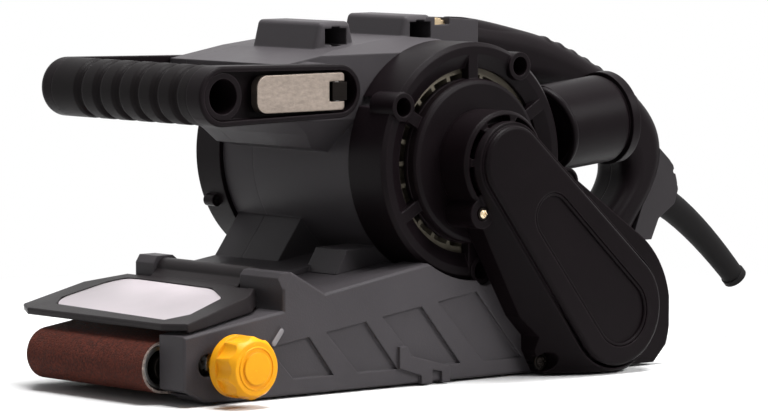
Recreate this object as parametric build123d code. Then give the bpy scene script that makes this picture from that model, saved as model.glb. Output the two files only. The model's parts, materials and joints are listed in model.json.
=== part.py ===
from build123d import *
import math
import os

# Hand-held belt sander, in millimetres. +X runs to the rear of the tool, +Y to its open side and
# +Z up. The origin is the middle of the flat sanding face, under the platen.

# Sanding belt and rollers
belt_width = 75.0
belt_thickness = 1.0
nose_radius = 10.3  # outside of the belt round the front roller
drum_radius = 27.0  # outside of the belt round the rear roller
nose_lift = 4.0  # the front roller rides this much above the sanding face
front_axle_x = -100.0
rear_axle_x = 108.5
roller_gap = 0.3  # between the belt and a roller that only turns
tracking_gap = 0.85  # between the belt and the front roller, which also tilts
roller_inset = 0.8  # the rollers end this much inside the belt's edges
running_fit = 0.05  # radial play of a shaft in its bore
slip = 0.3  # play between parts that slide or swing past each other

# Platen under the belt's lower run
platen_front_x = -66.0
platen_rear_x = 76.0
platen_lip_radius = 7.0  # outside of the belt round the platen's front lip
pad_thickness = 1.2
platen_thickness = 2.0

# Front roller, axle, yoke and tension carriage
front_axle_radius = 5.0
roller_wall = 1.5
bush_length = 10.0
bush_inset = 4.0  # the bushes sit this deep in the roller's ends
yoke_arm = 3.7
yoke_height = 12.0
carriage_height = 10.6
carriage_stem_width = 15.4
carriage_travel = 8.0
yoke_pivot_x = -69.0
pivot_pin_radius = 2.5
spring_radius = 4.6
spring_wire = 1.4
spring_turns = 7
spring_length = 30.0

# Tension lever on the open side
lever_pivot_x = -38.0
lever_inset = 8.5  # the pivot is this much inside the belt's open edge
lever_length = 62.0
lever_thickness = 6.5
lever_height = 8.0

# Tracking knob
knob_axis_x = -84.0
knob_lift = 1.5  # the knob's axis above the front axle
knob_radius = 12.4
knob_length = 14.0
knob_stand = 6.6  # between the near wall and the knob's base
knob_shaft_radius = 4.0
knob_grips = 10

# Base frame
belt_edge_gap = 2.5  # between the belt's edge and the near wall
wall_thickness = 15.6
wall_bottom = 1.0
front_face_x = -103.5
pocket_wall = 3.0
tongue_front_x = -52.0
tongue_edge = 3.0  # the tongue stops this much inside the belt's open edge
belt_clearance = 3.0  # over the belt's upper run
deck_thickness = 3.0
deck_front_x = -47.0
deck_rear_x = 22.0
guard_gap = 4.0
guard_thickness = 3.5
panel_depth = 1.3
panel_width = 21.0
wall_rise = 3.4  # the near wall's top in front, above the belt's upper run
hinge_block_front_x = -53.2
hinge_block_crest_x = -48.5
hinge_block_rear_x = -31.5
hinge_block_top = 49.9
block_bevel_x = 5.5  # the bevel on its outer front corner
block_bevel_y = 5.7
block_bevel_z = 7.5

# Rear roller
tyre_thickness = 3.7
drum_rim = 4.5
drum_shaft_radius = 6.0
drum_bearing_radius = 14.0

# Motor and its barrel
motor_x = 50.5
motor_z = 89.5
barrel_radius = 46.5
barrel_bore = 37.5
barrel_near_overhang = 1.1  # past the belt's near edge
barrel_far_overhang = 15.3  # past the belt's open edge
pillar_near_y = 10.0
small_pillar_near_y = -29.5
small_pillar_far_y = -10.0
plinth_near_y = -12.0
plinth_rise = 2.4
seam_y = 33.3
cover_step = 2.0  # the end cover's band stands this far outside the barrel
cover_band = 13.4
cover_lap = 8.6  # the end cover's band laps this far over the barrel
cover_wall = 3.0
rim_inner = 43.6
dish_depth = 2.4
dish_floor = 2.0
disc_radius = 33.6
disc_proud = 3.0
vent_width = 4.1
vent_spokes = 6
spoke_width = 5.0
boss_circle = 45.2
boss_radius = 5.8
boss_hole = 3.9
bolt_sink = 8.0
boss_angles = (148.8, 57.0, -13.5, -85.5)
far_cap_length = 22.4
far_vents = 12
far_lug_circle = 49.4
far_lug_angle = 204.3
far_lug_radius = 2.6
motor_shaft_radius = 5.0
motor_bearing_radius = 13.0
bearing_width = 8.0
armature_radius = 22.5
armature_gap = 0.7
core_front_y = -18.0
core_far_inset = 18.8  # from the barrel's far end to the armature's core
winding_overhang = 8.0
commutator_radius = 13.0
commutator_length = 10.0
fan_radius = 38.8
fan_blades = 24
fan_depth = 5.5
fan_rim = 3.4
fan_plate = 1.5
brush_width = 7.0
brush_height = 8.0
brush_length = 14.0

# Ribbed drive belt, pulleys and drive cover
drive_pulley_radius = 8.1
driven_pulley_radius = 20.0
pulley_width = 12.0
pulley_ribs = 4
rib_depth = 1.6
drive_belt_thickness = 2.4
cover_plate = 5.4
cover_depth = 22.4  # from the near wall out to the cover's face
cover_skin = 2.5
cover_upper_radius = 15.5
cover_lower_radius = 23.6
cover_plate_upper = 20.0
cover_plate_lower = 40.0
cover_plate_shift = 5.0
cover_front_x = 73.7
cover_front_z = 16.7
cover_rear_x = 153.0
cover_rear_chamfer = 9.0
cover_lug_radius = 6.2
hub_radius = 21.4
hub_height = 16.5
hub_vents = 4
hub_vent_length = 12.5
badge_depth = 1.2
badge_upper_radius = 10.0
badge_lower_radius = 14.5

# Front handle
handle_pivot_x = -20.0
handle_rise = 31.0  # the handle's pivot above the motor axis
grip_x = -80.0
grip_radius = 12.0
grip_core = 9.6
grip_bore = 7.0
grip_ribs = 6
rib_pitch = 12.3
rib_shift = -3.8
rib_groove = 1.6
arm_thickness = 9.0
arm_overhang = 14.0  # near arm past the belt's edge
far_arm_overhang = 16.0
arm_rear_radius = 10.8
arm_rim = 2.2
arm_pocket = 7.0
clamp_bolt_radius = 3.5
clamp_pin_radius = 1.5
clamp_lever_height = 15.0
clamp_lever_corner = 4.8
clamp_lever_length = 42.0
clamp_lever_thickness = 4.0
clamp_block = 7.4

# Front flap
flap_front_x = -103.7
flap_front_z = 31.8
flap_slope = 13.0
flap_thickness = 2.6
flap_overhang = 16.5  # past the belt's edges
skirt_depth = 6.5
skirt_gap = 1.0
skirt_width = 2.6
hinge_x = -46.5
hinge_rise = 1.0  # the hinge pin above the flap's top plane
hinge_pin_radius = 1.8
hinge_bar_radius = 4.2
hinge_near_inset = 9.5  # the hinge bar ends this much inside the belt's edges
hinge_far_inset = 9.5
knuckle_length = 12.0
label_depth = 0.4
label_sink = 0.4

# Top sockets for clamping the tool upside down on a bench
socket_width = 11.5
socket_height = 6.7
socket_depth = 26.0
socket_lift = 5.6  # the rear socket's middle above the barrel
socket_drop = 1.4  # the front socket and its boss sit this much lower
socket_key = 4.4
socket_key_depth = 0.7
socket_roof = 2.75
front_socket_x = 8.2
rear_socket_x = 54.0
boss_near_y = -15.0
front_boss_far_y = 26.0
rear_boss_far_y = 23.0
rear_boss_tail = 6.6  # from the rear socket's middle to the root
boss_width = 15.5
boss_foot_width = 28.0
boss_height = 24.5
boss_round = 2.2

# Rear handle
handle_width = 26.0
handle_front_x = 86.0
handle_round = 8.0
rear_arm_top = 47.0
rear_arm_width = 22.0
trigger_width = 13.0
trigger_travel = 8.0
trigger_x = 122.0
trigger_z = 119.0
lock_x = 153.0
lock_z = 115.4
lock_radius = 4.2
lock_length = 5.9
lock_travel = 2.5
dial_x = 66.0
dial_y = -9.0
dial_radius = 5.0
dial_width = 6.0
dial_proud = 0.2
dial_axle_half = 5.0
dial_teeth = 18
dial_tooth = 0.9
dial_window = 8.0
root_rise = 10.0  # the top of the root above the barrel
board_y = 6.0
board_width = 15.0

# Dust port and cord sleeve
port_radius = 18.4
port_bore = 15.6
port_bore_length = 26.0
port_y = -37.0
port_rear_x = 140.5
port_rear_z = 103.2
port_collar = 4.2
port_slope = 5.6
port_flange_step = 4.0  # the duct runs this far behind the barrel
passage_near_y = -36.0
passage_far_y = -25.0
passage_low_z = 92.5
passage_high_z = 108.5
sleeve_root_radius = 6.8
sleeve_tip_radius = 4.9
sleeve_lip_radius = 5.5
sleeve_bore = 3.6
sleeve_mouth = 14.0  # straight end of the sleeve's bore
sleeve_length = 70.0

# Places worked out from the sizes above
half_belt = belt_width / 2
front_axle_z = nose_lift + nose_radius
rear_axle_z = drum_radius
roller_half = half_belt - roller_inset
axle_run = rear_axle_x - front_axle_x
axle_rise = rear_axle_z - front_axle_z
axle_span = math.hypot(axle_run, axle_rise)
run_angle = math.atan2(axle_rise, axle_run) + math.asin((drum_radius - nose_radius) / axle_span)
wall_in_y = -(half_belt + belt_edge_gap)
wall_out_y = wall_in_y - wall_thickness
platen_top = belt_thickness + pad_thickness + platen_thickness
barrel_near_y = -(half_belt + barrel_near_overhang)
barrel_far_y = half_belt + barrel_far_overhang
core_rear_y = barrel_far_y - core_far_inset
cover_face_y = barrel_near_y - cover_band
band_rear_y = barrel_near_y + cover_lap
disc_face_y = cover_face_y - disc_proud
far_cap_y = barrel_far_y + far_cap_length
drive_face_y = wall_out_y - cover_depth
drive_inner_y = drive_face_y + cover_skin
pulley_near_y = drive_inner_y + 3.5
pulley_far_y = pulley_near_y + pulley_width
carriage_z = front_axle_z
knob_z = front_axle_z + knob_lift
guard_inner = drum_radius + guard_gap
guard_outer = guard_inner + guard_thickness
lever_pivot_y = half_belt - lever_inset
arm_outer_y = half_belt + arm_overhang
arm_inner_y = arm_outer_y - arm_thickness
far_arm_outer_y = half_belt + far_arm_overhang
far_arm_inner_y = far_arm_outer_y - arm_thickness
handle_pivot_z = motor_z + handle_rise
barrel_top = motor_z + barrel_radius
cover_radius = barrel_radius + cover_step
port_flange_x = motor_x + barrel_radius + port_flange_step
root_top = barrel_top + root_rise
socket_z = barrel_top + socket_lift
boss_top = socket_z + socket_height / 2 + socket_roof
boss_foot_z = boss_top - boss_height
flap_half_width = half_belt + flap_overhang
hinge_bar_near_y = -(half_belt - hinge_near_inset)
hinge_bar_far_y = half_belt - hinge_far_inset
hinge_far_end_y = hinge_bar_far_y + knuckle_length
dish_y = cover_face_y + dish_depth
cover_inner_y = dish_y + dish_floor
deck_rise = belt_clearance + deck_thickness
far_step = 400.0  # longer than the tool, for cuts that run right through


def above_belt(x, gap):
    """Height at x of a line that runs the given gap above the belt's upper run."""
    at_axle = front_axle_z + (nose_radius + gap) / math.cos(run_angle)
    return at_axle + (x - front_axle_x) * math.tan(run_angle)


def slab(outline, y_low, y_high):
    """An outline drawn in X and Z, carried from one Y plane to another."""
    return extrude(Plane.XZ.offset(-y_high) * outline, amount=y_high - y_low, dir=(0, -1, 0))


def rod(x, z, radius, y_low, y_high):
    """A round bar along Y."""
    return slab(Pos(x, z) * Circle(radius), y_low, y_high)


def pin(x, y, radius, z_low, z_high):
    """A round bar along Z."""
    return Pos(x, y, (z_low + z_high) / 2) * Cylinder(radius, z_high - z_low)


def block(x_low, x_high, y_low, y_high, z_low, z_high):
    """A box between two corners."""
    middle = Pos((x_low + x_high) / 2, (y_low + y_high) / 2, (z_low + z_high) / 2)
    return middle * Box(x_high - x_low, y_high - y_low, z_high - z_low)


def turned(x, z, *points):
    """A ring round a Y axis through x and z, from points of radius and y."""
    return Pos(x, 0, z) * revolve(Polygon(*points), axis=Axis.Y)


def around(*circles):
    """The outline stretched round some circles, each given as x, z and radius."""
    edges = [edge for x, z, radius in circles for edge in (Pos(x, z) * Circle(radius)).edges()]
    return make_hull(edges)


def ring(x, z, outer, inner, y_low, y_high):
    """A round tube along Y."""
    return rod(x, z, outer, y_low, y_high) - rod(x, z, inner, y_low - 1, y_high + 1)


def on_motor(radius, angle):
    """X and Z of a point round the motor axis."""
    turn = math.radians(angle)
    return motor_x + radius * math.cos(turn), motor_z + radius * math.sin(turn)


def belt_outline(inset):
    """The sanding belt's side outline, drawn in by the given distance."""
    return around(
        (front_axle_x, front_axle_z, nose_radius - inset),
        (platen_front_x, platen_lip_radius, platen_lip_radius - inset),
        (rear_axle_x, rear_axle_z, drum_radius - inset),
    )


# Sanding belt, platen and slip pad
def make_sanding_belt():
    return slab(belt_outline(0) - belt_outline(belt_thickness), -half_belt, half_belt)


def platen_layer(z_low, z_high):
    inside = slab(belt_outline(belt_thickness), -half_belt, half_belt)
    return inside & block(platen_front_x - platen_lip_radius, platen_rear_x, -half_belt, half_belt, z_low,
                          z_high)


def make_slip_pad():
    return platen_layer(0, belt_thickness + pad_thickness)


def make_platen():
    return platen_layer(belt_thickness + pad_thickness, platen_top)


# Front roller, its axle, yoke and carriage
def make_front_roller():
    outer = nose_radius - belt_thickness - tracking_gap
    return ring(front_axle_x, front_axle_z, outer, outer - roller_wall, -roller_half, roller_half)


def make_roller_bushes():
    outer = nose_radius - belt_thickness - tracking_gap - roller_wall
    bore = front_axle_radius + running_fit
    end = roller_half - bush_inset
    near = ring(front_axle_x, front_axle_z, outer, bore, -end, bush_length - end)
    far = ring(front_axle_x, front_axle_z, outer, bore, end - bush_length, end)
    return Compound([near, far])


near_arm_y = wall_in_y - 1.5  # inner face of the yoke's near arm, inside the frame's pocket
far_arm_y = half_belt + 1.4
axle_flat_x = front_axle_x - 0.3  # the axle's near tail is milled flat in front


def make_front_axle():
    step_y = wall_in_y + 1.0
    body = rod(front_axle_x, front_axle_z, front_axle_radius, step_y, far_arm_y + yoke_arm)
    tail = rod(front_axle_x, front_axle_z, front_axle_radius, near_arm_y - yoke_arm, step_y)
    return body + (tail & block(axle_flat_x, front_axle_x + 20, near_arm_y - yoke_arm, step_y, 0, 40))


yoke_bar_x = -88.0
yoke_bar_rear_x = -79.0
yoke_low = carriage_z - yoke_height / 2
yoke_high = carriage_z + yoke_height / 2
lug_half_height = 2.0
lug_half_width = 6.0


def make_yoke():
    bar = block(yoke_bar_x, yoke_bar_rear_x, near_arm_y - yoke_arm, far_arm_y + yoke_arm, yoke_low,
                yoke_high)
    far_end = rod(front_axle_x, front_axle_z, yoke_height / 2, far_arm_y, far_arm_y + yoke_arm)
    far_arm = block(front_axle_x, yoke_bar_x, far_arm_y, far_arm_y + yoke_arm, yoke_low, yoke_high)
    near_arm = block(axle_flat_x, yoke_bar_x, near_arm_y - yoke_arm, near_arm_y, yoke_low, yoke_high)
    lug = block(yoke_bar_rear_x, yoke_pivot_x, -lug_half_width, lug_half_width,
                carriage_z - lug_half_height, carriage_z + lug_half_height)
    eye = pin(yoke_pivot_x, 0, lug_half_width, carriage_z - lug_half_height, carriage_z + lug_half_height)
    hole = pin(yoke_pivot_x, 0, pivot_pin_radius + running_fit, yoke_low, yoke_high)
    bore = rod(front_axle_x, front_axle_z, front_axle_radius, -far_step, far_step)
    return bar + far_end + far_arm + near_arm + lug + eye - hole - bore


carriage_low = carriage_z - carriage_height / 2
carriage_high = carriage_z + carriage_height / 2
crossarm_front_x = -74.0
crossarm_rear_x = -63.0
stem_rear_x = -12.0
knob_tab_y = near_arm_y - yoke_arm - 2.0
knob_tab = 4.0


def make_carriage():
    crossarm = block(crossarm_front_x, crossarm_rear_x, knob_tab_y - knob_tab, 20, carriage_low,
                     carriage_high)
    stem = block(crossarm_rear_x, stem_rear_x, -carriage_stem_width / 2, carriage_stem_width / 2,
                 carriage_low, carriage_high)
    tab = block(knob_axis_x, crossarm_front_x, knob_tab_y - knob_tab, knob_tab_y, carriage_low,
                carriage_high)
    tab_end = rod(knob_axis_x, knob_z, carriage_height / 2, knob_tab_y - knob_tab, knob_tab_y)
    knob_bore = rod(knob_axis_x, knob_z, knob_shaft_radius + running_fit, -far_step, wall_in_y)
    slot = block(crossarm_front_x - 1, crossarm_rear_x + 2, -lug_half_width - 1, lug_half_width + 1,
                 carriage_z - lug_half_height - slip, carriage_z + lug_half_height + slip)
    hole = pin(yoke_pivot_x, 0, pivot_pin_radius, carriage_low - 1, carriage_high + 1)
    return crossarm + stem + tab + tab_end - knob_bore - slot - hole


def make_yoke_pivot_pin():
    return pin(yoke_pivot_x, 0, pivot_pin_radius, carriage_low, carriage_high)


channel_rear_x = stem_rear_x + spring_length


def make_tension_spring():
    """Square-ended coil, a wire of few sides carried along a helix on the X axis."""
    coil_radius = spring_radius - spring_wire / 2
    coil_length = spring_length - spring_wire - 2 * slip
    path = Helix(coil_length / spring_turns, coil_length, coil_radius)
    wire = Plane(path @ 0, z_dir=path % 0) * RegularPolygon(spring_wire / 2, 6)
    coil = sweep(wire, path, is_frenet=True)
    return Pos(stem_rear_x + slip + spring_wire / 2, 0, carriage_z) * Rot(0, 90, 0) * coil


lever_low = carriage_z - lever_height / 2
lever_high = carriage_z + lever_height / 2


def make_tension_lever():
    arm = block(lever_pivot_x, lever_pivot_x + lever_length - lever_height,
                lever_pivot_y - lever_thickness / 2,
                lever_pivot_y + lever_thickness / 2, lever_low, lever_high)
    tip_x = lever_pivot_x + lever_length - lever_height
    tip = block(tip_x, tip_x + lever_height, lever_pivot_y - lever_thickness / 2,
                lever_pivot_y + lever_thickness, lever_low, lever_high)
    eye = pin(lever_pivot_x, lever_pivot_y, lever_thickness / 2 + 2, lever_low, lever_high)
    hole = pin(lever_pivot_x, lever_pivot_y, pivot_pin_radius + running_fit, lever_low - 1, lever_high + 1)
    arm = fillet((arm + tip).edges().filter_by(Axis.Z), 1.2)
    return arm + eye - hole


def make_lever_pin():
    return pin(lever_pivot_x, lever_pivot_y, pivot_pin_radius, platen_top, lever_high + 4)


# Tracking knob with its shaft and eccentric
def make_tracking_knob():
    base_y = wall_out_y - knob_stand
    face_y = base_y - knob_length
    middle_y = (face_y + base_y) / 2 - 3.0
    grip = rod(knob_axis_x, knob_z, knob_radius, face_y, base_y)
    grip = chamfer(grip.edges().sort_by(Axis.Y)[0], 2.6, 1.8)
    flat = Cylinder(8.0, knob_length, rotation=(90, 0, 0))
    flat = Pos(knob_radius + 7.0, middle_y, 0) * Rot(0, 0, 4) * flat
    flats = [
        Pos(knob_axis_x, 0, knob_z) * Rot(0, turn * 360 / knob_grips, 0) * flat
        for turn in range(knob_grips)
    ]
    boss = rod(knob_axis_x, knob_z, knob_radius * 0.52, face_y - 0.8, face_y)
    shaft = rod(knob_axis_x, knob_z, knob_shaft_radius, base_y, knob_tab_y + 1.0)
    return grip - flats + boss + shaft


# Base frame: near wall with its pocket, tongue inside the belt, deck, guard and rear arm
def hinge_block_points(rise):
    """The hinge block from its rear foot, the given rise above the belt, over the crest to its front."""
    return ((hinge_block_rear_x, above_belt(hinge_block_rear_x, rise)),
            (hinge_block_crest_x, hinge_block_top),
            (hinge_block_front_x + 2, hinge_block_top - 0.4), (hinge_block_front_x, hinge_block_top - 2.4))


def wall_outline():
    shape = Polygon(
        (front_face_x, wall_bottom + 5.6), (front_face_x + 11.5, wall_bottom),
        (rear_axle_x + 26, wall_bottom), (rear_axle_x + 36, wall_bottom + 8),
        (rear_axle_x + 36, rear_axle_z), (rear_axle_x, rear_axle_z + 36),
        (motor_x + 30, above_belt(motor_x + 30, deck_rise + 2)), *hinge_block_points(deck_rise),
        (hinge_block_front_x, above_belt(hinge_block_front_x, wall_rise)),
        (front_face_x, above_belt(front_face_x, wall_rise)),
    )
    return shape + (Pos(rear_axle_x, rear_axle_z) * Circle(36) & Pos(rear_axle_x, 60) * Rectangle(80, 80))


def panel(x, z_top, slant, width):
    """One shallow slanted panel in the near wall's outer face."""
    z_low = wall_bottom + 6.5
    run = (z_top - z_low) * slant
    rise = width * math.tan(run_angle)
    return Polygon((x, z_top), (x + run, z_low), (x + run + width, z_low), (x + width, z_top + rise))


def block_bevel():
    """The outer front corner that is cut off the hinge block."""
    foot_z = hinge_block_top - block_bevel_z
    facet = Plane((hinge_block_front_x, wall_out_y, foot_z),
                  z_dir=(-1 / block_bevel_x, -1 / block_bevel_y, 1 / block_bevel_z))
    cut = facet * Box(40, 40, 20, align=(Align.CENTER, Align.CENTER, Align.MIN))
    return cut & block(hinge_block_front_x - 5, hinge_block_rear_x, wall_out_y - 5, wall_in_y, foot_z,
                       foot_z + 20)


def clip_outline():
    """The raised Z-shaped clip low on the near wall."""
    low = wall_bottom - 0.4
    return Polygon((6.5, 16.5), (10.5, 16.5), (12.5, 12.4), (33.6, 7), (33.6, low), (29.2, low), (29.2, 5),
                   (24, 6.2), (24, low), (18.2, low), (18.2, 4), (6.5, 7.8))


def make_base_frame():
    wall = slab(wall_outline(), wall_out_y, wall_in_y)
    wall = chamfer(wall.faces().sort_by(Axis.Y)[0].edges(), 0.8)
    pocket = block(front_face_x + 2.2, tongue_front_x, wall_out_y + pocket_wall, wall_in_y + 1,
                   wall_bottom + 3.5, 27.0)
    slot = slab(around((knob_axis_x - 8, knob_z, 4.6), (knob_axis_x + 10, knob_z, 4.6)),
                wall_out_y - 1, wall_in_y)
    panels = [
        slab(panel(x, above_belt(x, -9.5), 0.97, panel_width), wall_out_y - 1, wall_out_y + panel_depth)
        for x in (-61.0, -31.3, -1.6, 28.1)
    ]
    clip = slab(clip_outline(), wall_out_y - 1.4, wall_out_y + panel_depth)
    bearing_bore = rod(rear_axle_x, rear_axle_z, drum_bearing_radius, -far_step, wall_in_y - 1.0)
    shaft_hole = rod(rear_axle_x, rear_axle_z, drum_shaft_radius + 3, -far_step, wall_in_y + 1)
    tongue_rear_x = platen_rear_x + 4
    tongue = slab(
        Polygon((tongue_front_x, platen_top), (tongue_rear_x, platen_top),
                (tongue_rear_x, above_belt(tongue_rear_x, -6)),
                (tongue_front_x, above_belt(tongue_front_x, -6))),
        wall_in_y - 1, half_belt - tongue_edge)
    tongue = tongue - rod(rear_axle_x, rear_axle_z, drum_radius, -far_step, far_step)
    channel = block(tongue_front_x - 1, channel_rear_x, -carriage_stem_width / 2 - slip,
                    carriage_stem_width / 2 + slip, carriage_low - slip, carriage_high + slip)
    lever_pocket = block(tongue_front_x - 1, lever_pivot_x + lever_length + 4,
                         lever_pivot_y - lever_thickness,
                         half_belt, lever_low - 1, lever_high + 1)
    lever_pin_hole = pin(lever_pivot_x, lever_pivot_y, pivot_pin_radius, 0, lever_high + 4)
    deck = slab(
        Polygon((deck_front_x, above_belt(deck_front_x, belt_clearance)),
                (deck_rear_x, above_belt(deck_rear_x, belt_clearance)),
                (deck_rear_x, above_belt(deck_rear_x, deck_rise)),
                (deck_front_x, above_belt(deck_front_x, deck_rise))),
        wall_in_y - 1, barrel_far_y - 2)
    guard = ring(rear_axle_x, rear_axle_z, guard_outer, guard_inner, wall_in_y - 1, half_belt + 5)
    guard = guard - slab(
        Polygon((rear_axle_x - 60, -60), (rear_axle_x + 60, -60), (rear_axle_x + 60, 14),
                (rear_axle_x, rear_axle_z),
                (rear_axle_x - 12, 100), (rear_axle_x - 60, 100)), -far_step, far_step)
    rear_arm = slab(
        Polygon((rear_axle_x + 18, 42), (rear_axle_x + 36, 30), (162, 34), (181, 38), (184, rear_arm_top),
                (150, rear_arm_top), (rear_axle_x + 22, 60)),
        -rear_arm_width / 2, rear_arm_width / 2)
    rear_arm = rear_arm - rod(rear_axle_x, rear_axle_z, guard_inner + 1, -far_step, far_step)
    hinge_block = slab(
        Polygon(*hinge_block_points(belt_clearance),
                (hinge_block_front_x, above_belt(hinge_block_front_x, belt_clearance))),
        wall_in_y - 1, hinge_bar_near_y - slip)
    knuckle = slab(knuckle_outline(), hinge_bar_far_y + slip, hinge_far_end_y)
    pointer = slab(Pos(-56.9, 24.7) * Rot(0, 0, 50) * Rectangle(8.8, 2.6), wall_out_y - 0.8,
                   wall_out_y + 0.5)
    pin_hole = rod(hinge_x, hinge_z, hinge_pin_radius, wall_in_y + 6, far_step)
    body = wall + tongue + deck + guard + rear_arm + hinge_block + knuckle
    body = body - pocket - slot - panels - bearing_bore - shaft_hole - channel - lever_pocket - lever_pin_hole
    body = body + clip + pointer
    ring_room = rod(motor_x, motor_z, cover_radius + slip, -far_step, band_rear_y + slip)
    boss_room = [rod(*on_motor(boss_circle, angle), boss_radius + slip, -far_step, barrel_near_y + slip)
                 for angle in boss_angles]
    return body - ring_room - boss_room - pin_hole - block_bevel()


hinge_z = flap_front_z + (hinge_x - flap_front_x) * math.tan(math.radians(flap_slope)) + hinge_rise


def knuckle_outline():
    """Side outline of a hinge lug standing on the deck."""
    foot = above_belt(hinge_x, belt_clearance + 1)
    return Polygon((hinge_x - 6, foot - 0.8), (hinge_x + 8, foot + 1), (hinge_x + 8, hinge_z + 2),
                   (hinge_x + 4, hinge_z + 5), (hinge_x - 4, hinge_z + 5), (hinge_x - 6, hinge_z + 2))


# Front flap with its label and hinge
def flap_place():
    return Pos(flap_front_x, 0, flap_front_z) * Rot(0, -flap_slope, 0)


flap_length = (hinge_x - flap_front_x) / math.cos(math.radians(flap_slope)) - hinge_bar_radius + 2


def make_flap():
    stop = (hinge_x - 8 - flap_front_x) / math.cos(math.radians(flap_slope))
    near = -flap_half_width
    outline = Polygon((0, flap_half_width - 8), (4.2, flap_half_width), (stop - 14.5, flap_half_width),
                      (stop, flap_half_width - 11.5), (stop, hinge_bar_far_y),
                      (flap_length, hinge_bar_far_y),
                      (flap_length, hinge_bar_near_y), (stop - 1.5, hinge_bar_near_y),
                      (stop - 1.5, near + 13.4),
                      (stop - 10, near + 6.4), (14.4, near + 1.4), (3, near), (0, near + 13))
    plate = extrude(outline, amount=flap_thickness, dir=(0, 0, -1))
    plate = chamfer(plate.faces().sort_by(Axis.Z)[-1].edges(), 0.6)
    plate = plate - extrude(label_outline(), amount=label_sink + label_depth, dir=(0, 0, -1))
    inner = near + skirt_width
    strip = Polygon((3, near), (14.4, near + 1.4), (stop - 10, near + 6.4), (stop - 1.5, near + 13.4),
                    (stop - 1.5, inner + 14.6), (stop - 11, inner + 6.6), (14, inner + 1.4), (3.4, inner))
    skirt = flap_place() * extrude(strip, amount=skirt_depth, dir=(0, 0, -1))
    wall_room = wall_rise + skirt_gap
    front_x = flap_front_x - 20
    skirt = skirt - slab(Polygon((front_x, -20), (hinge_x, -20), (hinge_x, above_belt(hinge_x, wall_room)),
                                 (front_x, above_belt(front_x, wall_room))), -far_step, far_step)
    bar = rod(hinge_x, hinge_z, hinge_bar_radius, hinge_bar_near_y, hinge_bar_far_y)
    web = slab(Polygon((hinge_x - 9, hinge_z - 4.2), (hinge_x, hinge_z - 3.6), (hinge_x, hinge_z + 3.6)),
               hinge_bar_near_y, hinge_bar_far_y)
    hole = rod(hinge_x, hinge_z, hinge_pin_radius + running_fit, -far_step, far_step)
    return flap_place() * plate + skirt + bar + web - hole


def label_outline():
    """Bare label, a plate with cut corners."""
    return Polygon((8.3, 37), (16, 43.5), (38.5, 42), (45.3, 37.5), (46, 30), (44.6, -19.5), (35.5, -36.8),
                   (14, -42.5), (5.2, -37))


def make_flap_label():
    film = extrude(label_outline(), amount=label_depth, dir=(0, 0, -1))
    return flap_place() * Pos(0, 0, -label_sink) * film


def make_hinge_pin():
    return rod(hinge_x, hinge_z, hinge_pin_radius, wall_in_y + 6, hinge_far_end_y)


# Rear roller, its shaft, bearings and pulley
drum_shell = drum_radius - belt_thickness - roller_gap


def make_drum_tyre():
    return ring(rear_axle_x, rear_axle_z, drum_shell, drum_shell - tyre_thickness, -roller_half,
                roller_half)


def make_drum_core():
    outer = drum_shell - tyre_thickness
    hub = drum_shaft_radius + 5
    web_y = -roller_half + 30
    return turned(
        rear_axle_x, rear_axle_z,
        (outer, -roller_half), (outer, roller_half), (outer - drum_rim, roller_half),
        (outer - drum_rim, web_y + 8),
        (hub, web_y + 8), (hub, web_y + 20), (drum_shaft_radius, web_y + 20),
        (drum_shaft_radius, -roller_half),
    )


def make_drum_shaft():
    shaft = rod(rear_axle_x, rear_axle_z, drum_shaft_radius, pulley_near_y - 2, -roller_half + 50)
    shoulder = rod(rear_axle_x, rear_axle_z, drum_shaft_radius + 2, wall_in_y - 0.8, -roller_half)
    return shaft + shoulder


def make_drum_bearings():
    width = (wall_thickness - 1.0 - 0.6) / 2
    inner = drum_shaft_radius + running_fit
    first = ring(rear_axle_x, rear_axle_z, drum_bearing_radius, inner, wall_in_y - 1.0 - width,
                 wall_in_y - 1.0)
    second = ring(rear_axle_x, rear_axle_z, drum_bearing_radius, inner, wall_out_y, wall_out_y + width)
    return Compound([first, second])


def pulley(x, z, radius, bore):
    """A pulley with lengthwise V grooves between two plain flanges."""
    margin = 1.5
    pitch = (pulley_width - 2 * margin) / pulley_ribs
    points = [(bore, pulley_near_y), (radius, pulley_near_y), (radius, pulley_near_y + margin)]
    for groove in range(pulley_ribs):
        start = pulley_near_y + margin + groove * pitch
        points += [(radius - rib_depth, start + pitch / 2), (radius, start + pitch)]
    points += [(radius, pulley_far_y), (bore, pulley_far_y)]
    return turned(x, z, *points)


def make_driven_pulley():
    return pulley(rear_axle_x, rear_axle_z, driven_pulley_radius, drum_shaft_radius)


def make_drive_pulley():
    return pulley(motor_x, motor_z, drive_pulley_radius, motor_shaft_radius)


def drive_loop(extra):
    return around((motor_x, motor_z, drive_pulley_radius + extra),
                  (rear_axle_x, rear_axle_z, driven_pulley_radius + extra))


def make_drive_belt():
    loop = drive_loop(roller_gap + drive_belt_thickness) - drive_loop(roller_gap)
    return slab(loop, pulley_near_y + 1.5, pulley_far_y - 1.5)


# Drive cover: plate, flared oval body, hub round the motor shaft, bare badge place
def plate_outline():
    reach = around((motor_x, motor_z, cover_plate_upper),
                   (rear_axle_x + cover_plate_shift, rear_axle_z - cover_plate_shift, cover_plate_lower))
    limits = Polygon(
        (cover_front_x, wall_bottom), (cover_rear_x - cover_rear_chamfer, wall_bottom),
        (cover_rear_x, wall_bottom + cover_rear_chamfer), (cover_rear_x, 200), (motor_x - 60, 200),
        (motor_x - 60, motor_z), (motor_x - 4, cover_front_z + cover_front_x - motor_x + 4),
        (cover_front_x, cover_front_z),
    )
    boss_x, boss_z = cover_boss()
    return (reach & limits) + around((boss_x, boss_z, cover_lug_radius),
                                     (boss_x - 9, boss_z - 9, cover_lug_radius))


def cover_boss():
    """X and Z of the plate's lug, over the end cover's rear boss."""
    return on_motor(boss_circle, boss_angles[2])


def lug_place():
    """X and Z of the screw lug beside the hub."""
    return on_motor(hub_radius + 2.0, -121.7)


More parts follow.
